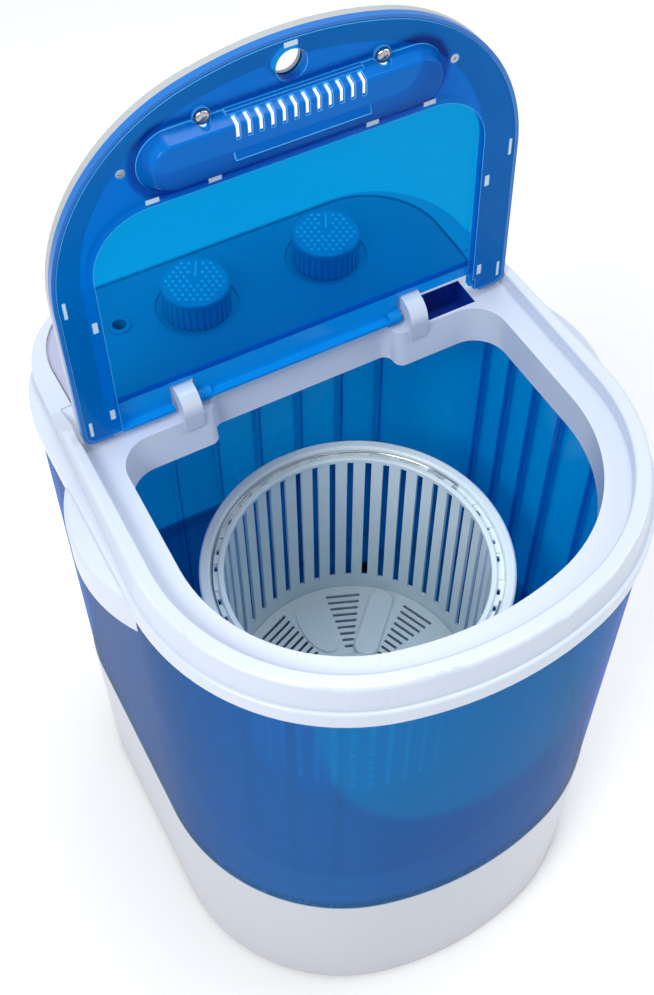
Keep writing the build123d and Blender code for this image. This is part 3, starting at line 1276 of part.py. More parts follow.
with BuildPart() as drive_belt:
    with BuildSketch(Plane.XY.offset(groove_z + BELT_GAP)):
        add(belt_loop(BELT_GAP + BELT_THICKNESS))
        add(belt_loop(BELT_GAP), mode=Mode.SUBTRACT)
    extrude(amount=BELT_HEIGHT - 2 * BELT_GAP)
finish(drive_belt.part, "drive_belt")

with BuildPart() as motor_bracket:
    with BuildSketch(Plane.XY.offset(bracket_bottom_z)):
        with Locations((0, MOTOR_Y)):
            RectangleRounded(BRACKET_LENGTH, BRACKET_WIDTH, 2 * BRACKET_POST_R)
            Circle(BRACKET_HOLE_R, mode=Mode.SUBTRACT)
    extrude(amount=BRACKET_THICKNESS)
    with BuildSketch(Plane.XY.offset(BRACKET_TOP_Z)):
        with Locations((0, MOTOR_Y)):
            with GridLocations(2 * bracket_post_x, 2 * bracket_post_y, 2, 2):
                Circle(BRACKET_POST_R)
    extrude(amount=DECK_BOTTOM_Z - BRACKET_TOP_Z)
finish(motor_bracket.part, "motor_bracket")

with BuildPart() as motor_housing:
    with BuildSketch(Plane.XY.offset(MOTOR_BOTTOM_Z)):
        with Locations((0, MOTOR_Y)):
            Circle(MOTOR_R - END_BELL_STEP)
    extrude(amount=bracket_bottom_z - MOTOR_BOTTOM_Z)
    with BuildSketch(Plane.XY.offset(MOTOR_BOTTOM_Z + END_BELL)):
        with Locations((0, MOTOR_Y)):
            Circle(MOTOR_R)
    extrude(amount=bracket_bottom_z - MOTOR_BOTTOM_Z - 2 * END_BELL)
    with BuildSketch(Plane.XY.offset(bracket_bottom_z)):
        with Locations((0, MOTOR_Y)):
            Circle(MOTOR_SHAFT_R + RUN_PLAY)
    extrude(amount=-MOTOR_SHAFT_END - MOTOR_END_ROOM, mode=Mode.SUBTRACT)
finish(motor_housing.part, "motor_housing")

# Drain: bent pipe from the tub floor to a spigot in the right-hand wall
BEND_R = 22.0
PIPE_R = 8.6
PIPE_END_FROM_SIDE = 12.0
PIPE_END_X = HALF_WIDTH - PIPE_END_FROM_SIDE
SPIGOT_END_PAST_SIDE = 12.5
SPIGOT_END_X = HALF_WIDTH + SPIGOT_END_PAST_SIDE
SPIGOT_FLANGE_R = 13.0
SPIGOT_FLANGE = 2.0
SPIGOT_FLANGE_FROM_SIDE = 3.5
SPIGOT_FLANGE_X = HALF_WIDTH - SPIGOT_FLANGE_FROM_SIDE

with BuildPart() as drain_elbow:
    with BuildLine(Plane((0, DRAIN_Y, 0), x_dir=(1, 0, 0), z_dir=(0, -1, 0))):
        Line((DRAIN_X, DECK_TOP_Z), (DRAIN_X, SPIGOT_Z + BEND_R))
        CenterArc((DRAIN_X + BEND_R, SPIGOT_Z + BEND_R), BEND_R, 180, 90)
        Line((DRAIN_X + BEND_R, SPIGOT_Z), (PIPE_END_X, SPIGOT_Z))
    with BuildSketch(Plane((DRAIN_X, DRAIN_Y, DECK_TOP_Z), x_dir=(1, 0, 0), z_dir=(0, 0, -1))):
        Circle(PIPE_R)
        Circle(DRAIN_BORE_R, mode=Mode.SUBTRACT)
    sweep()
finish(drain_elbow.part, "drain_elbow")

with BuildPart() as drain_spigot:
    with BuildSketch(Plane.YZ.offset(PIPE_END_X)):
        with Locations((DRAIN_Y, SPIGOT_Z)):
            Circle(DRAIN_R)
    extrude(amount=SPIGOT_END_X - PIPE_END_X)
    with BuildSketch(Plane.YZ.offset(SPIGOT_FLANGE_X)):
        with Locations((DRAIN_Y, SPIGOT_Z)):
            Circle(SPIGOT_FLANGE_R)
    extrude(amount=SPIGOT_FLANGE)
    with BuildSketch(Plane.YZ.offset(PIPE_END_X)):
        with Locations((DRAIN_Y, SPIGOT_Z)):
            Circle(DRAIN_BORE_R)
    extrude(amount=SPIGOT_END_X - PIPE_END_X, mode=Mode.SUBTRACT)
finish(drain_spigot.part, "drain_spigot")

# Cord gland in the back wall
GLAND_START_FROM_BACK = 14.0
GLAND_START_Y = BACK_Y - GLAND_START_FROM_BACK
GLAND_FLANGE_FROM_BACK = 1.8
GLAND_FLANGE_Y = BACK_Y - GLAND_FLANGE_FROM_BACK
GLAND_FLANGE = 1.6
GLAND_FLANGE_R = 10.0
GLAND_BORE_R = 3.2
gland_length = GLAND_FLANGE_Y + GLAND_FLANGE - GLAND_START_Y

with BuildPart() as cord_gland:
    with BuildSketch(Plane((GLAND_X, GLAND_START_Y, GLAND_Z), x_dir=(-1, 0, 0), z_dir=(0, 1, 0))):
        Circle(GLAND_R)
    extrude(amount=gland_length)
    with BuildSketch(Plane((GLAND_X, GLAND_FLANGE_Y, GLAND_Z), x_dir=(-1, 0, 0), z_dir=(0, 1, 0))):
        Circle(GLAND_FLANGE_R)
    extrude(amount=GLAND_FLANGE)
    with BuildSketch(Plane((GLAND_X, GLAND_START_Y, GLAND_Z), x_dir=(-1, 0, 0), z_dir=(0, 1, 0))):
        Circle(GLAND_BORE_R)
    extrude(amount=gland_length, mode=Mode.SUBTRACT)
finish(cord_gland.part, "cord_gland")
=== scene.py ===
from math import cos, radians, sin

import bmesh
import bpy
from mathutils import Matrix, Vector


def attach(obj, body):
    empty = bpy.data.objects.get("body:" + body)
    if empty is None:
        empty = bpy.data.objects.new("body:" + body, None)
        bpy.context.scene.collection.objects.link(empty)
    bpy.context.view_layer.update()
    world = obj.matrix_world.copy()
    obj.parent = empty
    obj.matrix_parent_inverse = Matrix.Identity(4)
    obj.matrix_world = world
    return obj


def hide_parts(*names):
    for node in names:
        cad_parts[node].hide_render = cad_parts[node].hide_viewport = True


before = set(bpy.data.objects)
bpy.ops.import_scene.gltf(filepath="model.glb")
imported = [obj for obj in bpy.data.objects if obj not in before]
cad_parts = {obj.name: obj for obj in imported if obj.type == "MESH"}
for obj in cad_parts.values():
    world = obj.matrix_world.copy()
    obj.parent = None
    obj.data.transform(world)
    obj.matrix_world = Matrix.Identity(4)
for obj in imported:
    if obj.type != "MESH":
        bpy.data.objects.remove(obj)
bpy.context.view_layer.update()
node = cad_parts

# Room: a flat pale floor under pale even light, three soft lamps, and a camera high in front, a
# little to the left.
CAMERA_PLACE = Vector((-0.2864, -0.5035, 1.1749))
CAMERA_YAW = 0.500
CAMERA_PITCH = 0.944
CAMERA_ROLL = 0.003
LENS = 51.54
SENSOR_WIDTH = 36.0
CENTRE_SHIFT = (-0.0040, 0.0151)
NEAREST = 0.02
FARTHEST = 50
FLOOR_SIZE = 14
FLOOR_COLOUR = (0.965, 0.967, 0.97)
FLOOR_ROUGHNESS = 0.6
FLOOR_CLOUD_SCALE = 1.5
FLOOR_CLOUD_SHADE = 0.985
ROOM_COLOUR = (0.95, 0.97, 1.0)
ROOM_STRENGTH = 0.60
LAMP_SIZE = 1.0

ahead = Vector((
    sin(CAMERA_YAW) * cos(CAMERA_PITCH),
    cos(CAMERA_YAW) * cos(CAMERA_PITCH),
    -sin(CAMERA_PITCH),
))
level = Vector((cos(CAMERA_YAW), -sin(CAMERA_YAW), 0))
upright = level.cross(ahead)
camera_side = level * cos(CAMERA_ROLL) + upright * sin(CAMERA_ROLL)
camera_top = upright * cos(CAMERA_ROLL) - level * sin(CAMERA_ROLL)
lens = bpy.data.cameras.new("camera")
lens.lens = LENS
lens.sensor_width = SENSOR_WIDTH
lens.sensor_fit = "AUTO"
lens.shift_x, lens.shift_y = CENTRE_SHIFT
lens.clip_start = NEAREST
lens.clip_end = FARTHEST
camera = bpy.data.objects.new("camera", lens)
bpy.context.collection.objects.link(camera)
camera.matrix_world = (
    Matrix.Translation(CAMERA_PLACE)
    @ Matrix((camera_side, camera_top, -ahead)).transposed().to_4x4()
)
bpy.context.scene.camera = camera
bpy.context.scene.view_settings.view_transform = "Standard"


def start_fresh():
    """Leaves object mode ready, with nothing selected."""
    if bpy.context.object and bpy.context.object.mode != "OBJECT":
        bpy.ops.object.mode_set(mode="OBJECT")
    bpy.ops.object.select_all(action="DESELECT")


def new_stuff(name):
    """A new material, with its node tree and its main shader."""
    stuff = bpy.data.materials.new(name)
    stuff.use_nodes = True
    return stuff, stuff.node_tree, stuff.node_tree.nodes["Principled BSDF"]


def cloud(tree, scale, detail=2.0, place=None):
    """The value of a noise texture, at the given place or else at the texture's own."""
    noise = tree.nodes.new("ShaderNodeTexNoise")
    noise.inputs["Scale"].default_value = scale
    noise.inputs["Detail"].default_value = detail
    if place is not None:
        tree.links.new(place, noise.inputs["Vector"])
    return noise.outputs["Fac"]


def shaded(colour, share):
    """A colour made darker or lighter, with no part of it over 1."""
    return [min(1.0, part * share) for part in colour]


def two_tones(tree, value, low, high, start=0.0, end=1.0):
    """A colour that goes from low to high while a value goes from start to end."""
    ramp = tree.nodes.new("ShaderNodeValToRGB")
    first, last = ramp.color_ramp.elements
    first.position = start
    last.position = end
    first.color = (*low, 1)
    last.color = (*high, 1)
    tree.links.new(value, ramp.inputs["Fac"])
    return ramp.outputs["Color"]


def soft_lamp(name, place, aim, power, colour=(1, 1, 1)):
    """A square soft lamp at a place, turned to a point."""
    lamp = bpy.data.lights.new(name, "AREA")
    lamp.shape = "SQUARE"
    lamp.size = LAMP_SIZE
    lamp.energy = power
    lamp.color = colour
    holder = bpy.data.objects.new(name, lamp)
    bpy.context.collection.objects.link(holder)
    holder.location = place
    holder.rotation_euler = (Vector(aim) - Vector(place)).to_track_quat("-Z", "Y").to_euler()


start_fresh()
bpy.ops.mesh.primitive_plane_add(size=FLOOR_SIZE, location=(0, 0, 0))
floor = bpy.context.object
floor.name = "floor"
floor_paint, tree, shader = new_stuff("floor_paint")
shader.inputs["Roughness"].default_value = FLOOR_ROUGHNESS
floor_tone = two_tones(
    tree, cloud(tree, FLOOR_CLOUD_SCALE), shaded(FLOOR_COLOUR, FLOOR_CLOUD_SHADE), FLOOR_COLOUR
)
tree.links.new(floor_tone, shader.inputs["Base Color"])
floor.data.materials.append(floor_paint)

world = bpy.data.worlds.new("room_light")
bpy.context.scene.world = world
world.use_nodes = True
room = world.node_tree.nodes["Background"]
room.inputs["Color"].default_value = (*ROOM_COLOUR, 1)
room.inputs["Strength"].default_value = ROOM_STRENGTH

soft_lamp("lamp_left", (-1.5, -0.7, 2.1), (0, 0, 0.35), power=32)
soft_lamp("lamp_above", (0.3, 0.2, 2.6), (0, 0, 0.4), power=23)
soft_lamp("lamp_right", (1.9, -0.6, 1.4), (0, 0, 0.3), power=9, colour=(0.95, 0.98, 1.0))


# Lower shell: a deep moulded tray of pale grey plastic, glossy, that carries tub, casing and
# motor. Its outer wall is a little greyer than the collar.
def object_place(tree):
    """The place of a point in the piece's own frame."""
    known = tree.nodes.get("Texture Coordinate") or tree.nodes.new("ShaderNodeTexCoord")
    return known.outputs["Object"]


def vary_gloss(tree, shader, value, smooth, dull):
    """Lets the roughness go from smooth to dull with a value."""
    gloss = tree.nodes.new("ShaderNodeMapRange")
    gloss.inputs["To Min"].default_value = smooth
    gloss.inputs["To Max"].default_value = dull
    tree.links.new(value, gloss.inputs["Value"])
    tree.links.new(gloss.outputs["Result"], shader.inputs["Roughness"])


def raise_skin(tree, shader, height, strength, distance):
    """Gives the skin a fine raised texture."""
    bump = tree.nodes.new("ShaderNodeBump")
    bump.inputs["Strength"].default_value = strength
    bump.inputs["Distance"].default_value = distance
    tree.links.new(height, bump.inputs["Height"])
    tree.links.new(bump.outputs["Normal"], shader.inputs["Normal"])


def moulded(name, colour, rough, grain=0.04, coat=0.25, mottle=0.03):
    """Moulded plastic: a faint flow pattern in its colour, a fine skin texture, a clear gloss."""
    stuff, tree, shader = new_stuff(name)
    shader.inputs["Coat Weight"].default_value = coat
    shader.inputs["Coat Roughness"].default_value = 0.12
    place = object_place(tree)
    flow = cloud(tree, scale=9.0, detail=4.0, place=place)
    low, high = shaded(colour, 1 - mottle), shaded(colour, 1 + mottle / 2)
    tree.links.new(two_tones(tree, flow, low, high, 0.3, 0.7), shader.inputs["Base Color"])
    vary_gloss(tree, shader, flow, smooth=rough * 0.85, dull=rough * 1.2)
    skin = cloud(tree, scale=900.0, place=place)
    raise_skin(tree, shader, skin, strength=grain, distance=0.0004)
    return stuff


def finish(stuff, *names):
    """Gives named nodes their material."""
    for name in names:
        mesh = node[name].data
        mesh.materials.clear()
        mesh.materials.append(stuff)


base_white = moulded("base_white", (0.48, 0.50, 0.555), 0.3, mottle=0.015)
finish(base_white, "base_shell")

# Bottom plate and feet, seen only from below: a dark plastic plate that closes the shell, and the
# four rubber feet that the machine stands on.
dark_plastic = moulded(
    "dark_plastic", (0.035, 0.038, 0.045), 0.45, grain=0.12, coat=0.0, mottle=0.1
)
black_rubber = moulded(
    "black_rubber", (0.02, 0.02, 0.021), 0.75, grain=0.3, coat=0.0, mottle=0.15
)
finish(dark_plastic, "base_plate")
finish(black_rubber, "base_feet")


# Base screws: four screws of plated steel that hold the bottom plate, with the fine marks that
# turning leaves on them.
def stretched(tree, place, scale):
    """A place, scaled along each axis."""
    spread = tree.nodes.new("ShaderNodeMapping")
    spread.inputs["Scale"].default_value = scale
    tree.links.new(place, spread.inputs["Vector"])
    return spread.outputs["Vector"]


def metal(name, colour, rough, brushed=0.0):
    """Bare metal with small patches of duller finish and, if brushed, fine turning marks."""
    stuff, tree, shader = new_stuff(name)
    shader.inputs["Metallic"].default_value = 1.0
    place = object_place(tree)
    patch = cloud(tree, scale=120.0, place=place)
    tone = two_tones(tree, patch, shaded(colour, 0.85), colour)
    tree.links.new(tone, shader.inputs["Base Color"])
    vary_gloss(tree, shader, patch, smooth=rough * 0.7, dull=rough * 1.4)
    if brushed:
        lines = cloud(tree, scale=60.0, place=stretched(tree, place, (1, 1, 30)))
        raise_skin(tree, shader, lines, strength=brushed, distance=0.0003)
    return stuff


plated_steel = metal("plated_steel", (0.55, 0.56, 0.58), 0.3, brushed=0.2)
finish(plated_steel, "base_screws")

# Casing: one band of deep blue plastic, tinted right through, that lets a little of the tub and
# the basket show. Its front has a rounded zone of painted light, standing in for light that comes
# in at the tub's mouth and falls on it, and its lower edge has a thin painted highlight.
LIGHT_PATCH_HALF_WIDTH = 0.112
LIGHT_PATCH_TOP_Z = 0.455
LIGHT_PATCH_DEPTH = 0.165
LIGHT_PATCH_SQUARENESS = 2.6
LIGHT_PATCH_FADE = (1.05, 0.92)
LIGHT_PATCH_BACK_Y = -0.1
CASING_HIGHLIGHT_Z = 0.1598
CASING_PAINTED_LIGHT = (0.008, 0.34, 0.66)
CASING_PAINTED_LIGHT_SHARE = 0.8
CASING_SPECULAR = 0.06
TINTED_SPECULAR = 0.2
EDGE_HIGHLIGHT = (0.12, 0.55, 1.0)


def two(tree, operation, first, second=0):
    """One Math node on two sockets or numbers."""
    step = tree.nodes.new("ShaderNodeMath")
    step.operation = operation
    for slot_number, value in enumerate((first, second)):
        if isinstance(value, (int, float)):
            step.inputs[slot_number].default_value = value
        else:
            tree.links.new(value, step.inputs[slot_number])
    return step.outputs["Value"]


def faded(tree, value, none_at, all_at):
    """0 where a value is at none_at or past it, going evenly to 1 at all_at."""
    ramp = tree.nodes.new("ShaderNodeMapRange")
    ramp.inputs["From Min"].default_value = none_at
    ramp.inputs["From Max"].default_value = all_at
    tree.links.new(value, ramp.inputs["Value"])
    return ramp.outputs["Result"]


def axes(tree):
    """The X, Y and Z of a point in the piece's own frame."""
    split = tree.nodes.new("ShaderNodeSeparateXYZ")
    tree.links.new(object_place(tree), split.inputs["Vector"])
    return split.outputs["X"], split.outputs["Y"], split.outputs["Z"]


def paint_over(tree, share, colour, target=None):
    """Lays a colour over what a colour input gets, by a share. The input is the skin's, if
    none is given."""
    if target is None:
        target = tree.nodes["Principled BSDF"].inputs["Base Color"]
    over = tree.nodes.new("ShaderNodeMix")
    over.data_type = "RGBA"
    over.inputs[7].default_value = (*colour, 1)
    if target.is_linked:
        tree.links.new(target.links[0].from_socket, over.inputs[6])
    else:
        over.inputs[6].default_value = target.default_value
    tree.links.new(share, over.inputs[0])
    tree.links.new(over.outputs[2], target)


def tinted(name, tint, skin, share, rough, streak, streak_scale=(1, 1, 1), edge=0.0,
           deepens=False):
    """See-through tinted plastic: at each face light passes with the tint's colour, and a share
    of it is stopped by the skin's own colour. Streaks vary the share, edges up to edge wide get a
    painted highlight, and the tint can deepen where the wall is seen aslant, since more plastic
    lies in the way there."""
    stuff, tree, shader = new_stuff(name)
    shader.inputs["Roughness"].default_value = rough
    shader.inputs["Specular IOR Level"].default_value = TINTED_SPECULAR
    place = stretched(tree, object_place(tree), streak_scale)
    flow = cloud(tree, scale=7.0, detail=3.0, place=place)
    tone = two_tones(tree, flow, shaded(skin, 0.9), shaded(skin, 1.08), 0.3, 0.7)
    tree.links.new(tone, shader.inputs["Base Color"])
    passing = tree.nodes.new("ShaderNodeBsdfTransparent")
    passing.inputs["Color"].default_value = (*tint, 1)
    amount = tree.nodes.new("ShaderNodeMapRange")
    amount.inputs["To Min"].default_value = max(0.0, share - streak)
    amount.inputs["To Max"].default_value = min(1.0, share + streak)
    tree.links.new(flow, amount.inputs["Value"])
    stopped = amount.outputs["Result"]
    if deepens:
        aslant = tree.nodes.new("ShaderNodeLayerWeight")
        aslant.inputs["Blend"].default_value = 0.5
        longer = faded(tree, aslant.outputs["Facing"], 0.5, 0.9)
        paint_over(tree, longer, [part**4 for part in tint], passing.inputs["Color"])
    # Painted highlight: a paler colour, and less see-through, along the edges.
    if edge:
        eased = tree.nodes.new("ShaderNodeBevel")
        eased.samples = 6
        eased.inputs["Radius"].default_value = edge
        facing = tree.nodes.new("ShaderNodeNewGeometry")
        same = tree.nodes.new("ShaderNodeVectorMath")
        same.operation = "DOT_PRODUCT"
        tree.links.new(eased.outputs["Normal"], same.inputs[0])
        tree.links.new(facing.outputs["Normal"], same.inputs[1])
        edge_highlight = faded(tree, same.outputs["Value"], 0.985, 0.80)
        paint_over(tree, edge_highlight, EDGE_HIGHLIGHT)
        stopped = two(tree, "MAXIMUM", edge_highlight, stopped)
    mix = tree.nodes.new("ShaderNodeMixShader")
    tree.links.new(stopped, mix.inputs["Fac"])
    tree.links.new(passing.outputs["BSDF"], mix.inputs[1])
    tree.links.new(shader.outputs["BSDF"], mix.inputs[2])
    tree.links.new(mix.outputs["Shader"], tree.nodes["Material Output"].inputs["Surface"])
    return stuff


casing_blue = tinted(
    "casing_blue", tint=(0.28, 0.74, 0.93), skin=(0.032, 0.215, 0.53), share=0.34, rough=0.2,
    streak=0.04, streak_scale=(1, 1, 0.06), deepens=True,
)
tree = casing_blue.node_tree
tree.nodes["Principled BSDF"].inputs["Specular IOR Level"].default_value = CASING_SPECULAR
x, y, z = axes(tree)
# Painted light: a rounded lit zone on the front, and a painted highlight along the lower edge.
out_share = two(tree, "DIVIDE", two(tree, "ABSOLUTE", x), LIGHT_PATCH_HALF_WIDTH)
down_share = two(tree, "DIVIDE", two(tree, "SUBTRACT", LIGHT_PATCH_TOP_Z, z), LIGHT_PATCH_DEPTH)
rounded = two(
    tree, "ADD",
    two(tree, "POWER", out_share, LIGHT_PATCH_SQUARENESS),
    two(tree, "POWER", down_share, LIGHT_PATCH_SQUARENESS),
)
in_front = two(tree, "LESS_THAN", y, LIGHT_PATCH_BACK_Y)
painted_light_patch = two(tree, "MULTIPLY", faded(tree, rounded, *LIGHT_PATCH_FADE), in_front)
bright = two(tree, "MAXIMUM", painted_light_patch, two(tree, "LESS_THAN", z, CASING_HIGHLIGHT_Z))
paint_over(tree, two(tree, "MULTIPLY", bright, CASING_PAINTED_LIGHT_SHARE), CASING_PAINTED_LIGHT)
finish(casing_blue, "outer_casing")

# Tub: a clear blue bucket, moulded in one with its upright ribs. Where a rib stands the plastic
# is thicker, so it is deeper in colour there; the back wall's left part has painted shade.
RIB_HALF_WIDTH = 0.0026
RIB_FADE = 1.6
RIB_AND_SHADE_COLOUR = (0.0, 0.10, 0.50)
SIDE_WALL_X = 0.125
SIDE_WALL_Y = (-0.048, 0.066)
SIDE_RIB_Y = -0.007
SIDE_RIB_PITCH = 0.030
BACK_WALL_Y = 0.088
BACK_WALL_HALF = 0.094
BACK_RIB_X = 0.017
BACK_RIB_PITCH = 0.034
FRONT_WALL_Y = -0.055
FRONT_ARC_X = 0.02905
FRONT_ARC_Y = -0.050
FRONT_LAST_TURN = -1.12
FRONT_RIB_TURN = radians(15)
FRONT_RIB_HALF_TURN = 0.022
SHADED_PANEL_X = -0.051
PANEL_SHADE_SHARE = 0.75


def between(tree, value, low, high):
    """1 where a value lies between two numbers, else 0."""
    over, under = two(tree, "GREATER_THAN", value, low), two(tree, "LESS_THAN", value, high)
    return two(tree, "MULTIPLY", over, under)


def line_mask(tree, value, start, pitch, half_width):
    """1 on evenly spaced lines across a value, falling softly to 0 beside them."""
    fold = two(tree, "PINGPONG", two(tree, "SUBTRACT", value, start), pitch / 2)
    return faded(tree, fold, half_width * RIB_FADE, half_width)


tub_blue = tinted(
    "tub_blue", tint=(0.03, 0.74, 0.94), skin=(0.0, 0.56, 1.0), share=0.27, rough=0.12,
    streak=0.04, streak_scale=(1, 1, 0.2),
)
tree = tub_blue.node_tree
x, y, z = axes(tree)
away = two(tree, "ABSOLUTE", x)
side_wall = two(
    tree, "MULTIPLY", two(tree, "GREATER_THAN", away, SIDE_WALL_X), between(tree, y, *SIDE_WALL_Y)
)
side_mask = line_mask(tree, y, SIDE_RIB_Y, SIDE_RIB_PITCH, RIB_HALF_WIDTH)
at_back = two(tree, "GREATER_THAN", y, BACK_WALL_Y)
back_wall = two(tree, "MULTIPLY", at_back, two(tree, "LESS_THAN", away, BACK_WALL_HALF))
back_mask = line_mask(tree, x, BACK_RIB_X, BACK_RIB_PITCH, RIB_HALF_WIDTH)
turn = two(
    tree, "ARCTAN2", two(tree, "SUBTRACT", y, FRONT_ARC_Y), two(tree, "SUBTRACT", away, FRONT_ARC_X)
)
front_wall = two(
    tree, "MULTIPLY",
    two(tree, "LESS_THAN", y, FRONT_WALL_Y),
    two(tree, "GREATER_THAN", turn, FRONT_LAST_TURN),
)
front_mask = line_mask(tree, turn, 0.0, FRONT_RIB_TURN, FRONT_RIB_HALF_TURN)
# Painted shade on the back wall's left part, in the ribs' deep colour.
shaded_left_panel = two(tree, "MULTIPLY", two(tree, "LESS_THAN", x, SHADED_PANEL_X), at_back)
ribs_and_shade = two(tree, "MULTIPLY", shaded_left_panel, PANEL_SHADE_SHARE)
for wall, mask in ((side_wall, side_mask), (back_wall, back_mask), (front_wall, front_mask)):
    ribs_and_shade = two(tree, "MAXIMUM", ribs_and_shade, two(tree, "MULTIPLY", wall, mask))
paint_over(tree, ribs_and_shade, RIB_AND_SHADE_COLOUR)
finish(tub_blue, "wash_tub")

# Collar: thick white moulding with a rolled rim, the lid's seat, two hinge ears and a grip each
# side. The small pocket beside the right ear opens on the blue plastic below; its inside is
# painted a dark blue that stands for that plastic in painted shade.
POCKET_X = (0.0935, 0.1315)
POCKET_Y = (0.0545, 0.0785)
POCKET_TOP_Z = 0.4685
POCKET_SHADE_COLOUR = (0.0, 0.03, 0.30)
collar_white = moulded("collar_white", (0.57, 0.63, 0.74), 0.28, mottle=0.012)
tree = collar_white.node_tree
x, y, z = axes(tree)
# Painted shade: the inside of the pocket, dark blue.
shaded_pocket = two(tree, "MULTIPLY", between(tree, x, *POCKET_X), between(tree, y, *POCKET_Y))
shaded_pocket = two(tree, "MULTIPLY", shaded_pocket, two(tree, "LESS_THAN", z, POCKET_TOP_Z))
paint_over(tree, shaded_pocket, POCKET_SHADE_COLOUR)
finish(collar_white, "top_collar")

# Control panel: a satin silver-grey plate let into the console behind the lid, with the inlet at
# its left and the timer and the switch under it.
# The plate's colour is bluer than its own silver-grey: a painted blue cast of the light through the
# lid.
panel_silver = moulded("panel_silver", (0.40, 0.41, 0.56), 0.38, grain=0.08, coat=0.1)
finish(panel_silver, "control_panel", "water_inlet")
finish(dark_plastic, "wash_timer", "mode_switch")

# Knobs: white ribbed drums on dark shafts. Their tops are covered in rows of small round pips,
# left out along a low pointer that runs from the middle to the rim.
KNOB_X = {"left": -0.0383, "right": 0.0615}
KNOB_BODY = {"left": "timer_knob", "right": "mode_knob"}
KNOB_Y = 0.142
KNOB_TOP = 0.492
KNOB_TURN = radians(-28)
PIP_R = 0.0013
PIP_SIDES = 10
PIP_HEIGHT = 0.0009
PIP_SUNK = 0.0001
PIP_EASE = 0.0005
PIP_PITCH = 0.0049
PIP_ROW_SHARE = 0.866
PIP_ROWS = 5
PIP_FIELD = 0.0205
POINTER_WIDTH = 0.0016
POINTER_LENGTH = 0.0150
POINTER_MIDDLE = 0.0115
POINTER_CLEAR = 0.0030
POINTER_START = -0.001
UPWARD = 0.9


def soften_top(thing, offset, segments):
    """Rounds the edges of a solid's upper face."""
    bpy.ops.object.mode_set(mode="EDIT")
    form = bmesh.from_edit_mesh(thing.data)
    for face in form.faces:
        face.select_set(face.normal.z > UPWARD)
    bmesh.update_edit_mesh(thing.data)
    bpy.ops.mesh.bevel(offset=offset, segments=segments, affect="EDGES")
    bpy.ops.object.mode_set(mode="OBJECT")


def copy_of(thing):
    """A copy with a mesh of its own."""
    one = thing.copy()
    one.data = thing.data.copy()
    bpy.context.collection.objects.link(one)
    return one


def apply_place():
    """Puts the place, turn and size of what is selected into its mesh."""
    bpy.ops.object.transform_apply(location=True, rotation=True, scale=True)


def joined(pieces, name):
    """Joins pieces into the first of them and names it."""
    start_fresh()
    for one in pieces:
        one.select_set(True)
    bpy.context.view_layer.objects.active = pieces[0]
    bpy.ops.object.join()
    whole = bpy.context.object
    whole.name = name
    whole.data.name = name
    apply_place()
    return whole


def cover(thing, stuff, smooth_angle):
    """Smooths a piece up to an angle and gives it its material."""
    bpy.ops.object.shade_smooth_by_angle(angle=radians(smooth_angle))
    thing.data.materials.clear()
    thing.data.materials.append(stuff)


# The drums' colour is darker and bluer than the white of their pips: painted shade and a painted
# blue cast of the light through the lid.
knob_white = moulded("knob_white", (0.50, 0.51, 0.68), 0.25, mottle=0.02)
pip_white = moulded("pip_white", (0.97, 0.98, 1.0), 0.12, coat=0.8, mottle=0.01)
finish(knob_white, "knob_left", "knob_right")
finish(dark_plastic, "knob_shaft_left", "knob_shaft_right")
for side in ("left", "right"):
    start_fresh()
    bpy.ops.mesh.primitive_cylinder_add(vertices=PIP_SIDES, radius=PIP_R, depth=PIP_HEIGHT)
    pip = bpy.context.object
    soften_top(pip, PIP_EASE, 2)
    bpy.ops.mesh.primitive_cube_add(size=1)
    pointer = bpy.context.object
    pointer.scale = (POINTER_WIDTH, POINTER_LENGTH, PIP_HEIGHT)
    bpy.ops.object.transform_apply(location=False, rotation=False, scale=True)
    eased = pointer.modifiers.new("eased", "BEVEL")
    eased.width = PIP_EASE
    eased.segments = 3
    bpy.ops.object.modifier_apply(modifier="eased")
    pointer.location = (0, POINTER_MIDDLE, 0)
    raised = [pointer]
    for row in range(-PIP_ROWS, PIP_ROWS + 1):
        for step in range(-PIP_ROWS, PIP_ROWS + 1):
            along = (step + 0.5 * (row % 2)) * PIP_PITCH
            across = row * PIP_PITCH * PIP_ROW_SHARE
            on_pointer = abs(along) < POINTER_CLEAR and across > POINTER_START
            if (along**2 + across**2) ** 0.5 > PIP_FIELD or on_pointer:
                continue
            one = copy_of(pip)
            one.location = (along, across, 0)
            raised.append(one)
    bpy.data.objects.remove(pip)
    pips = joined(raised, "knob_pips_" + side)
    pips.rotation_euler = (0, 0, KNOB_TURN)
    pips.location = (KNOB_X[side], KNOB_Y, KNOB_TOP + PIP_HEIGHT / 2 - PIP_SUNK)
    apply_place()
    cover(pips, pip_white, 40)
    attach(pips, KNOB_BODY[side])

# Lid trim: a silver channel round three sides of the lid. The blue plastic laps over its inner
# half.
LID_LEAN = radians(2)
LID_FOOT = Vector((0, 0.0579, 0.4752))
LID_UP = Vector((0, sin(LID_LEAN), cos(LID_LEAN)))
LID_IN = Vector((0, -cos(LID_LEAN), sin(LID_LEAN)))
LAP_DEPTH = -0.0055
LAP_COLOUR = (0.0, 0.14, 0.50)


def lid_reach(tree, direction, start=0.0):
    """How far a point lies from the lid's foot along one of the lid's own directions."""
    away = tree.nodes.new("ShaderNodeVectorMath")
    away.operation = "SUBTRACT"
    away.inputs[1].default_value = LID_FOOT
    tree.links.new(object_place(tree), away.inputs[0])
    along = tree.nodes.new("ShaderNodeVectorMath")
    along.operation = "DOT_PRODUCT"
    along.inputs[1].default_value = direction
    tree.links.new(away.outputs["Vector"], along.inputs[0])
    return two(tree, "SUBTRACT", along.outputs["Value"], start)


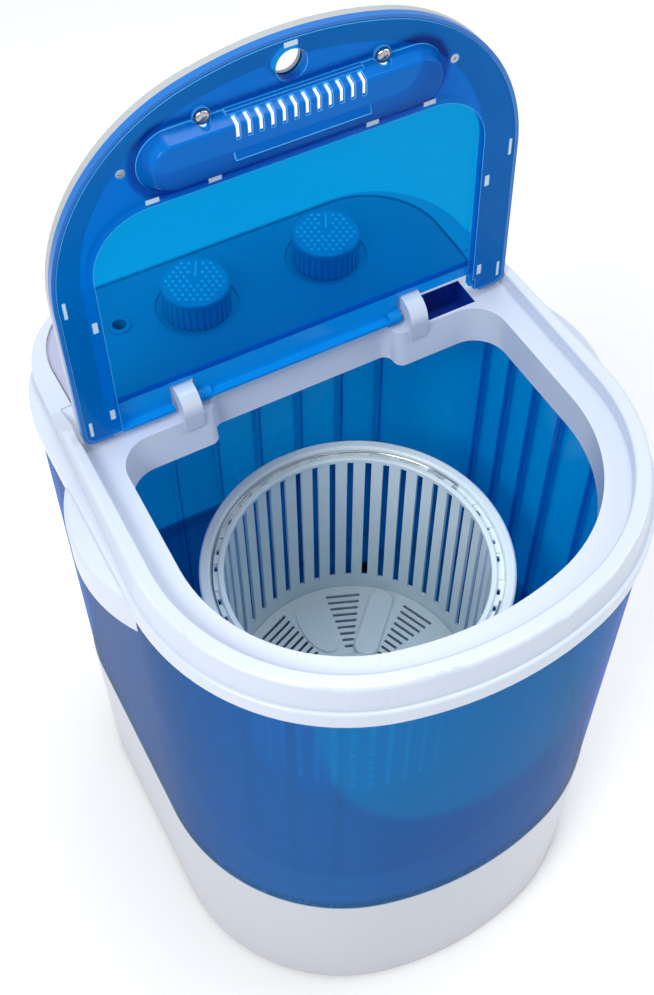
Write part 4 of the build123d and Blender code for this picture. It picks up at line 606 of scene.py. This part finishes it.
trim_silver = moulded("trim_silver", (0.40, 0.43, 0.44), 0.32, grain=0.05, coat=0.2)
tree = trim_silver.node_tree
paint_over(tree, two(tree, "GREATER_THAN", lid_reach(tree, LID_IN), LAP_DEPTH), LAP_COLOUR)
finish(trim_silver, "lid_frame")

# Lid pane: clear light blue, with a thick lip along the hinge side that is painted brighter:
# painted light, standing in for the light that gathers in it.
LIP_HEIGHT = 0.0203
LIP_PAINTED_LIGHT = (0.004, 0.36, 0.90)
LIP_SHARE = 0.62
window_blue = tinted(
    "window_blue", tint=(0.05, 0.56, 0.82), skin=(0.0, 0.20, 0.62), share=0.08, rough=0.08,
    streak=0.03,
)
tree = window_blue.node_tree
# Painted light: the lip's brighter colour.
lip = two(tree, "LESS_THAN", lid_reach(tree, LID_UP), LIP_HEIGHT)
paint_over(tree, lip, LIP_PAINTED_LIGHT)
stopping = tree.nodes["Mix Shader"].inputs["Fac"]
plain_share = stopping.links[0].from_socket
lip_share = two(tree, "MAXIMUM", two(tree, "MULTIPLY", lip, LIP_SHARE), plain_share)
tree.links.new(lip_share, stopping)
finish(window_blue, "lid_window")

# Lid liner: a deeper blue see-through band whose edges have a painted highlight, with painted
# shade in a channel round the vent pod.
EDGE_WIDTH = 0.0012
POD_HALF_LINE = 0.075
POD_HEIGHT = 0.193
CHANNEL_FADE = (0.0268, 0.0235)
CHANNEL_SHADE_COLOUR = (0.0, 0.045, 0.34)
liner_blue = tinted(
    "liner_blue", tint=(0.05, 0.58, 0.90), skin=(0.0, 0.265, 0.78), share=0.40, rough=0.12,
    streak=0.05, edge=EDGE_WIDTH,
)
tree = liner_blue.node_tree
x, y, z = axes(tree)
past_end = two(tree, "SUBTRACT", two(tree, "ABSOLUTE", x), POD_HALF_LINE)
past_end = two(tree, "MAXIMUM", past_end, 0.0)
off_line = lid_reach(tree, LID_UP, POD_HEIGHT)
squares = two(
    tree, "ADD", two(tree, "POWER", past_end, 2.0), two(tree, "MULTIPLY", off_line, off_line)
)
# Painted shade: a dark band in the channel round the pod.
paint_over(tree, faded(tree, two(tree, "SQRT", squares), *CHANNEL_FADE), CHANNEL_SHADE_COLOUR)
finish(liner_blue, "lid_liner")

# Vent pod: an oval slotted bowl of the same plastic, screwed on by an ear at each end. It is
# thicker, so it is deeper in colour; it has painted shade along its lower side and a painted
# highlight on its edges.
POD_SHADE_FADE = (0.187, 0.177)
POD_SHADE = (0.0, 0.06, 0.42)
pod_blue = tinted(
    "pod_blue", tint=(0.04, 0.46, 0.86), skin=(0.0, 0.165, 0.58), share=0.55, rough=0.12,
    streak=0.05, edge=EDGE_WIDTH,
)
tree = pod_blue.node_tree
# Painted shade along the pod's lower side.
paint_over(tree, faded(tree, lid_reach(tree, LID_UP), *POD_SHADE_FADE), POD_SHADE)
finish(pod_blue, "vent_pod")

# Lid clips and hinge pins: small pale grey plastic clips along both edges of the liner, and two
# plated steel pins in the bores of the collar's ears.
clip_grey = moulded("clip_grey", (0.55, 0.66, 0.76), 0.4)
finish(clip_grey, "lid_clips")
finish(plated_steel, "hinge_pins")

# Lid screws: two domed chrome screws on the pod's ears and two small flat ones beside it, each
# with a cross recess pressed into its head.
HEAD_SIDES = 32
POD_EARS = ((-0.055, 0.2145), (0.055, 0.2145))
BESIDE_POD = ((-0.1035, 0.1945), (0.1035, 0.1945))
RECESS_TURN = 20
RECESS_LENGTH = 1.05
RECESS_WIDTH = 0.26
RECESS_DEPTH = 1.1
RECESS_HEIGHT = 0.72
chrome_screw = metal("chrome_screw", (0.50, 0.49, 0.51), 0.14)


def crossed_heads(name, places, lift, radius, rise, dome):
    """Screw heads with a cross recess, standing on the lid's inner face at places that are given
    by their distance from its middle and from its foot."""
    start_fresh()
    bpy.ops.mesh.primitive_cylinder_add(vertices=HEAD_SIDES, radius=radius, depth=rise)
    head = bpy.context.object
    soften_top(head, dome, 5)
    for quarter in (0, 1):
        start_fresh()
        bpy.ops.mesh.primitive_cube_add(size=1)
        bar = bpy.context.object
        bar.scale = (radius * RECESS_LENGTH, radius * RECESS_WIDTH, rise * RECESS_DEPTH)
        bar.location = (0, 0, rise * RECESS_HEIGHT)
        bar.rotation_euler = (0, 0, radians(90 * quarter + RECESS_TURN))
        apply_place()
        start_fresh()
        head.select_set(True)
        bpy.context.view_layer.objects.active = head
        cut = head.modifiers.new("recess", "BOOLEAN")
        cut.object = bar
        cut.operation = "DIFFERENCE"
        cut.solver = "EXACT"
        bpy.ops.object.modifier_apply(modifier="recess")
        bpy.data.objects.remove(bar)
    heads = []
    for across, along in places:
        one = copy_of(head)
        spot = LID_FOOT + LID_UP * along + LID_IN * (lift + rise / 2) + Vector((across, 0, 0))
        lid_axes = Matrix(((1, 0, 0), LID_UP, LID_IN)).transposed().to_4x4()
        one.matrix_world = Matrix.Translation(spot) @ lid_axes
        heads.append(one)
    bpy.data.objects.remove(head)
    return joined(heads, name)


pod_heads = crossed_heads(
    "pod_screw_heads", POD_EARS, lift=0.0015, radius=0.0045, rise=0.0025, dome=0.0016
)
cover(pod_heads, chrome_screw, 35)
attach(pod_heads, "lid")
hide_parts("pod_screws")
end_heads = crossed_heads(
    "end_screw_heads", BESIDE_POD, lift=-0.0020, radius=0.0028, rise=0.0020, dome=0.0004
)
cover(end_heads, plated_steel, 35)
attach(end_heads, "lid")
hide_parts("pod_end_screws")

# Spin basket: white slotted drum with a rolled rim, its ring held by a wire, its floor and its
# hub cap.
# The drum's white has a teal cast: painted blue light from the tub round it.
basket_white = moulded("basket_white", (0.76, 0.86, 0.87), 0.35, mottle=0.02)
bright_steel = metal("bright_steel", (0.78, 0.78, 0.80), 0.12)
finish(basket_white, "spin_basket", "basket_ring", "basket_base", "hub_cap")
finish(bright_steel, "snap_ring")

# Drive under the tub: a steel shaft in a plated bearing with a rubber seal, a plastic pulley, a
# rubber belt, and the motor with its own small pulley on a zinc-plated bracket.
zinc_steel = metal("zinc_steel", (0.42, 0.44, 0.47), 0.45, brushed=0.3)
finish(bright_steel, "drive_shaft")
finish(black_rubber, "tub_seal", "drive_belt")
finish(plated_steel, "shaft_bearing", "motor_pulley")
finish(dark_plastic, "basket_pulley")
finish(zinc_steel, "motor_bracket", "motor_housing")

# Drain elbow and spigot, low at the right side, and the gland for the supply cord, low at the
# back: dark plastic, set in the shell's walls.
finish(dark_plastic, "drain_elbow", "drain_spigot", "cord_gland")
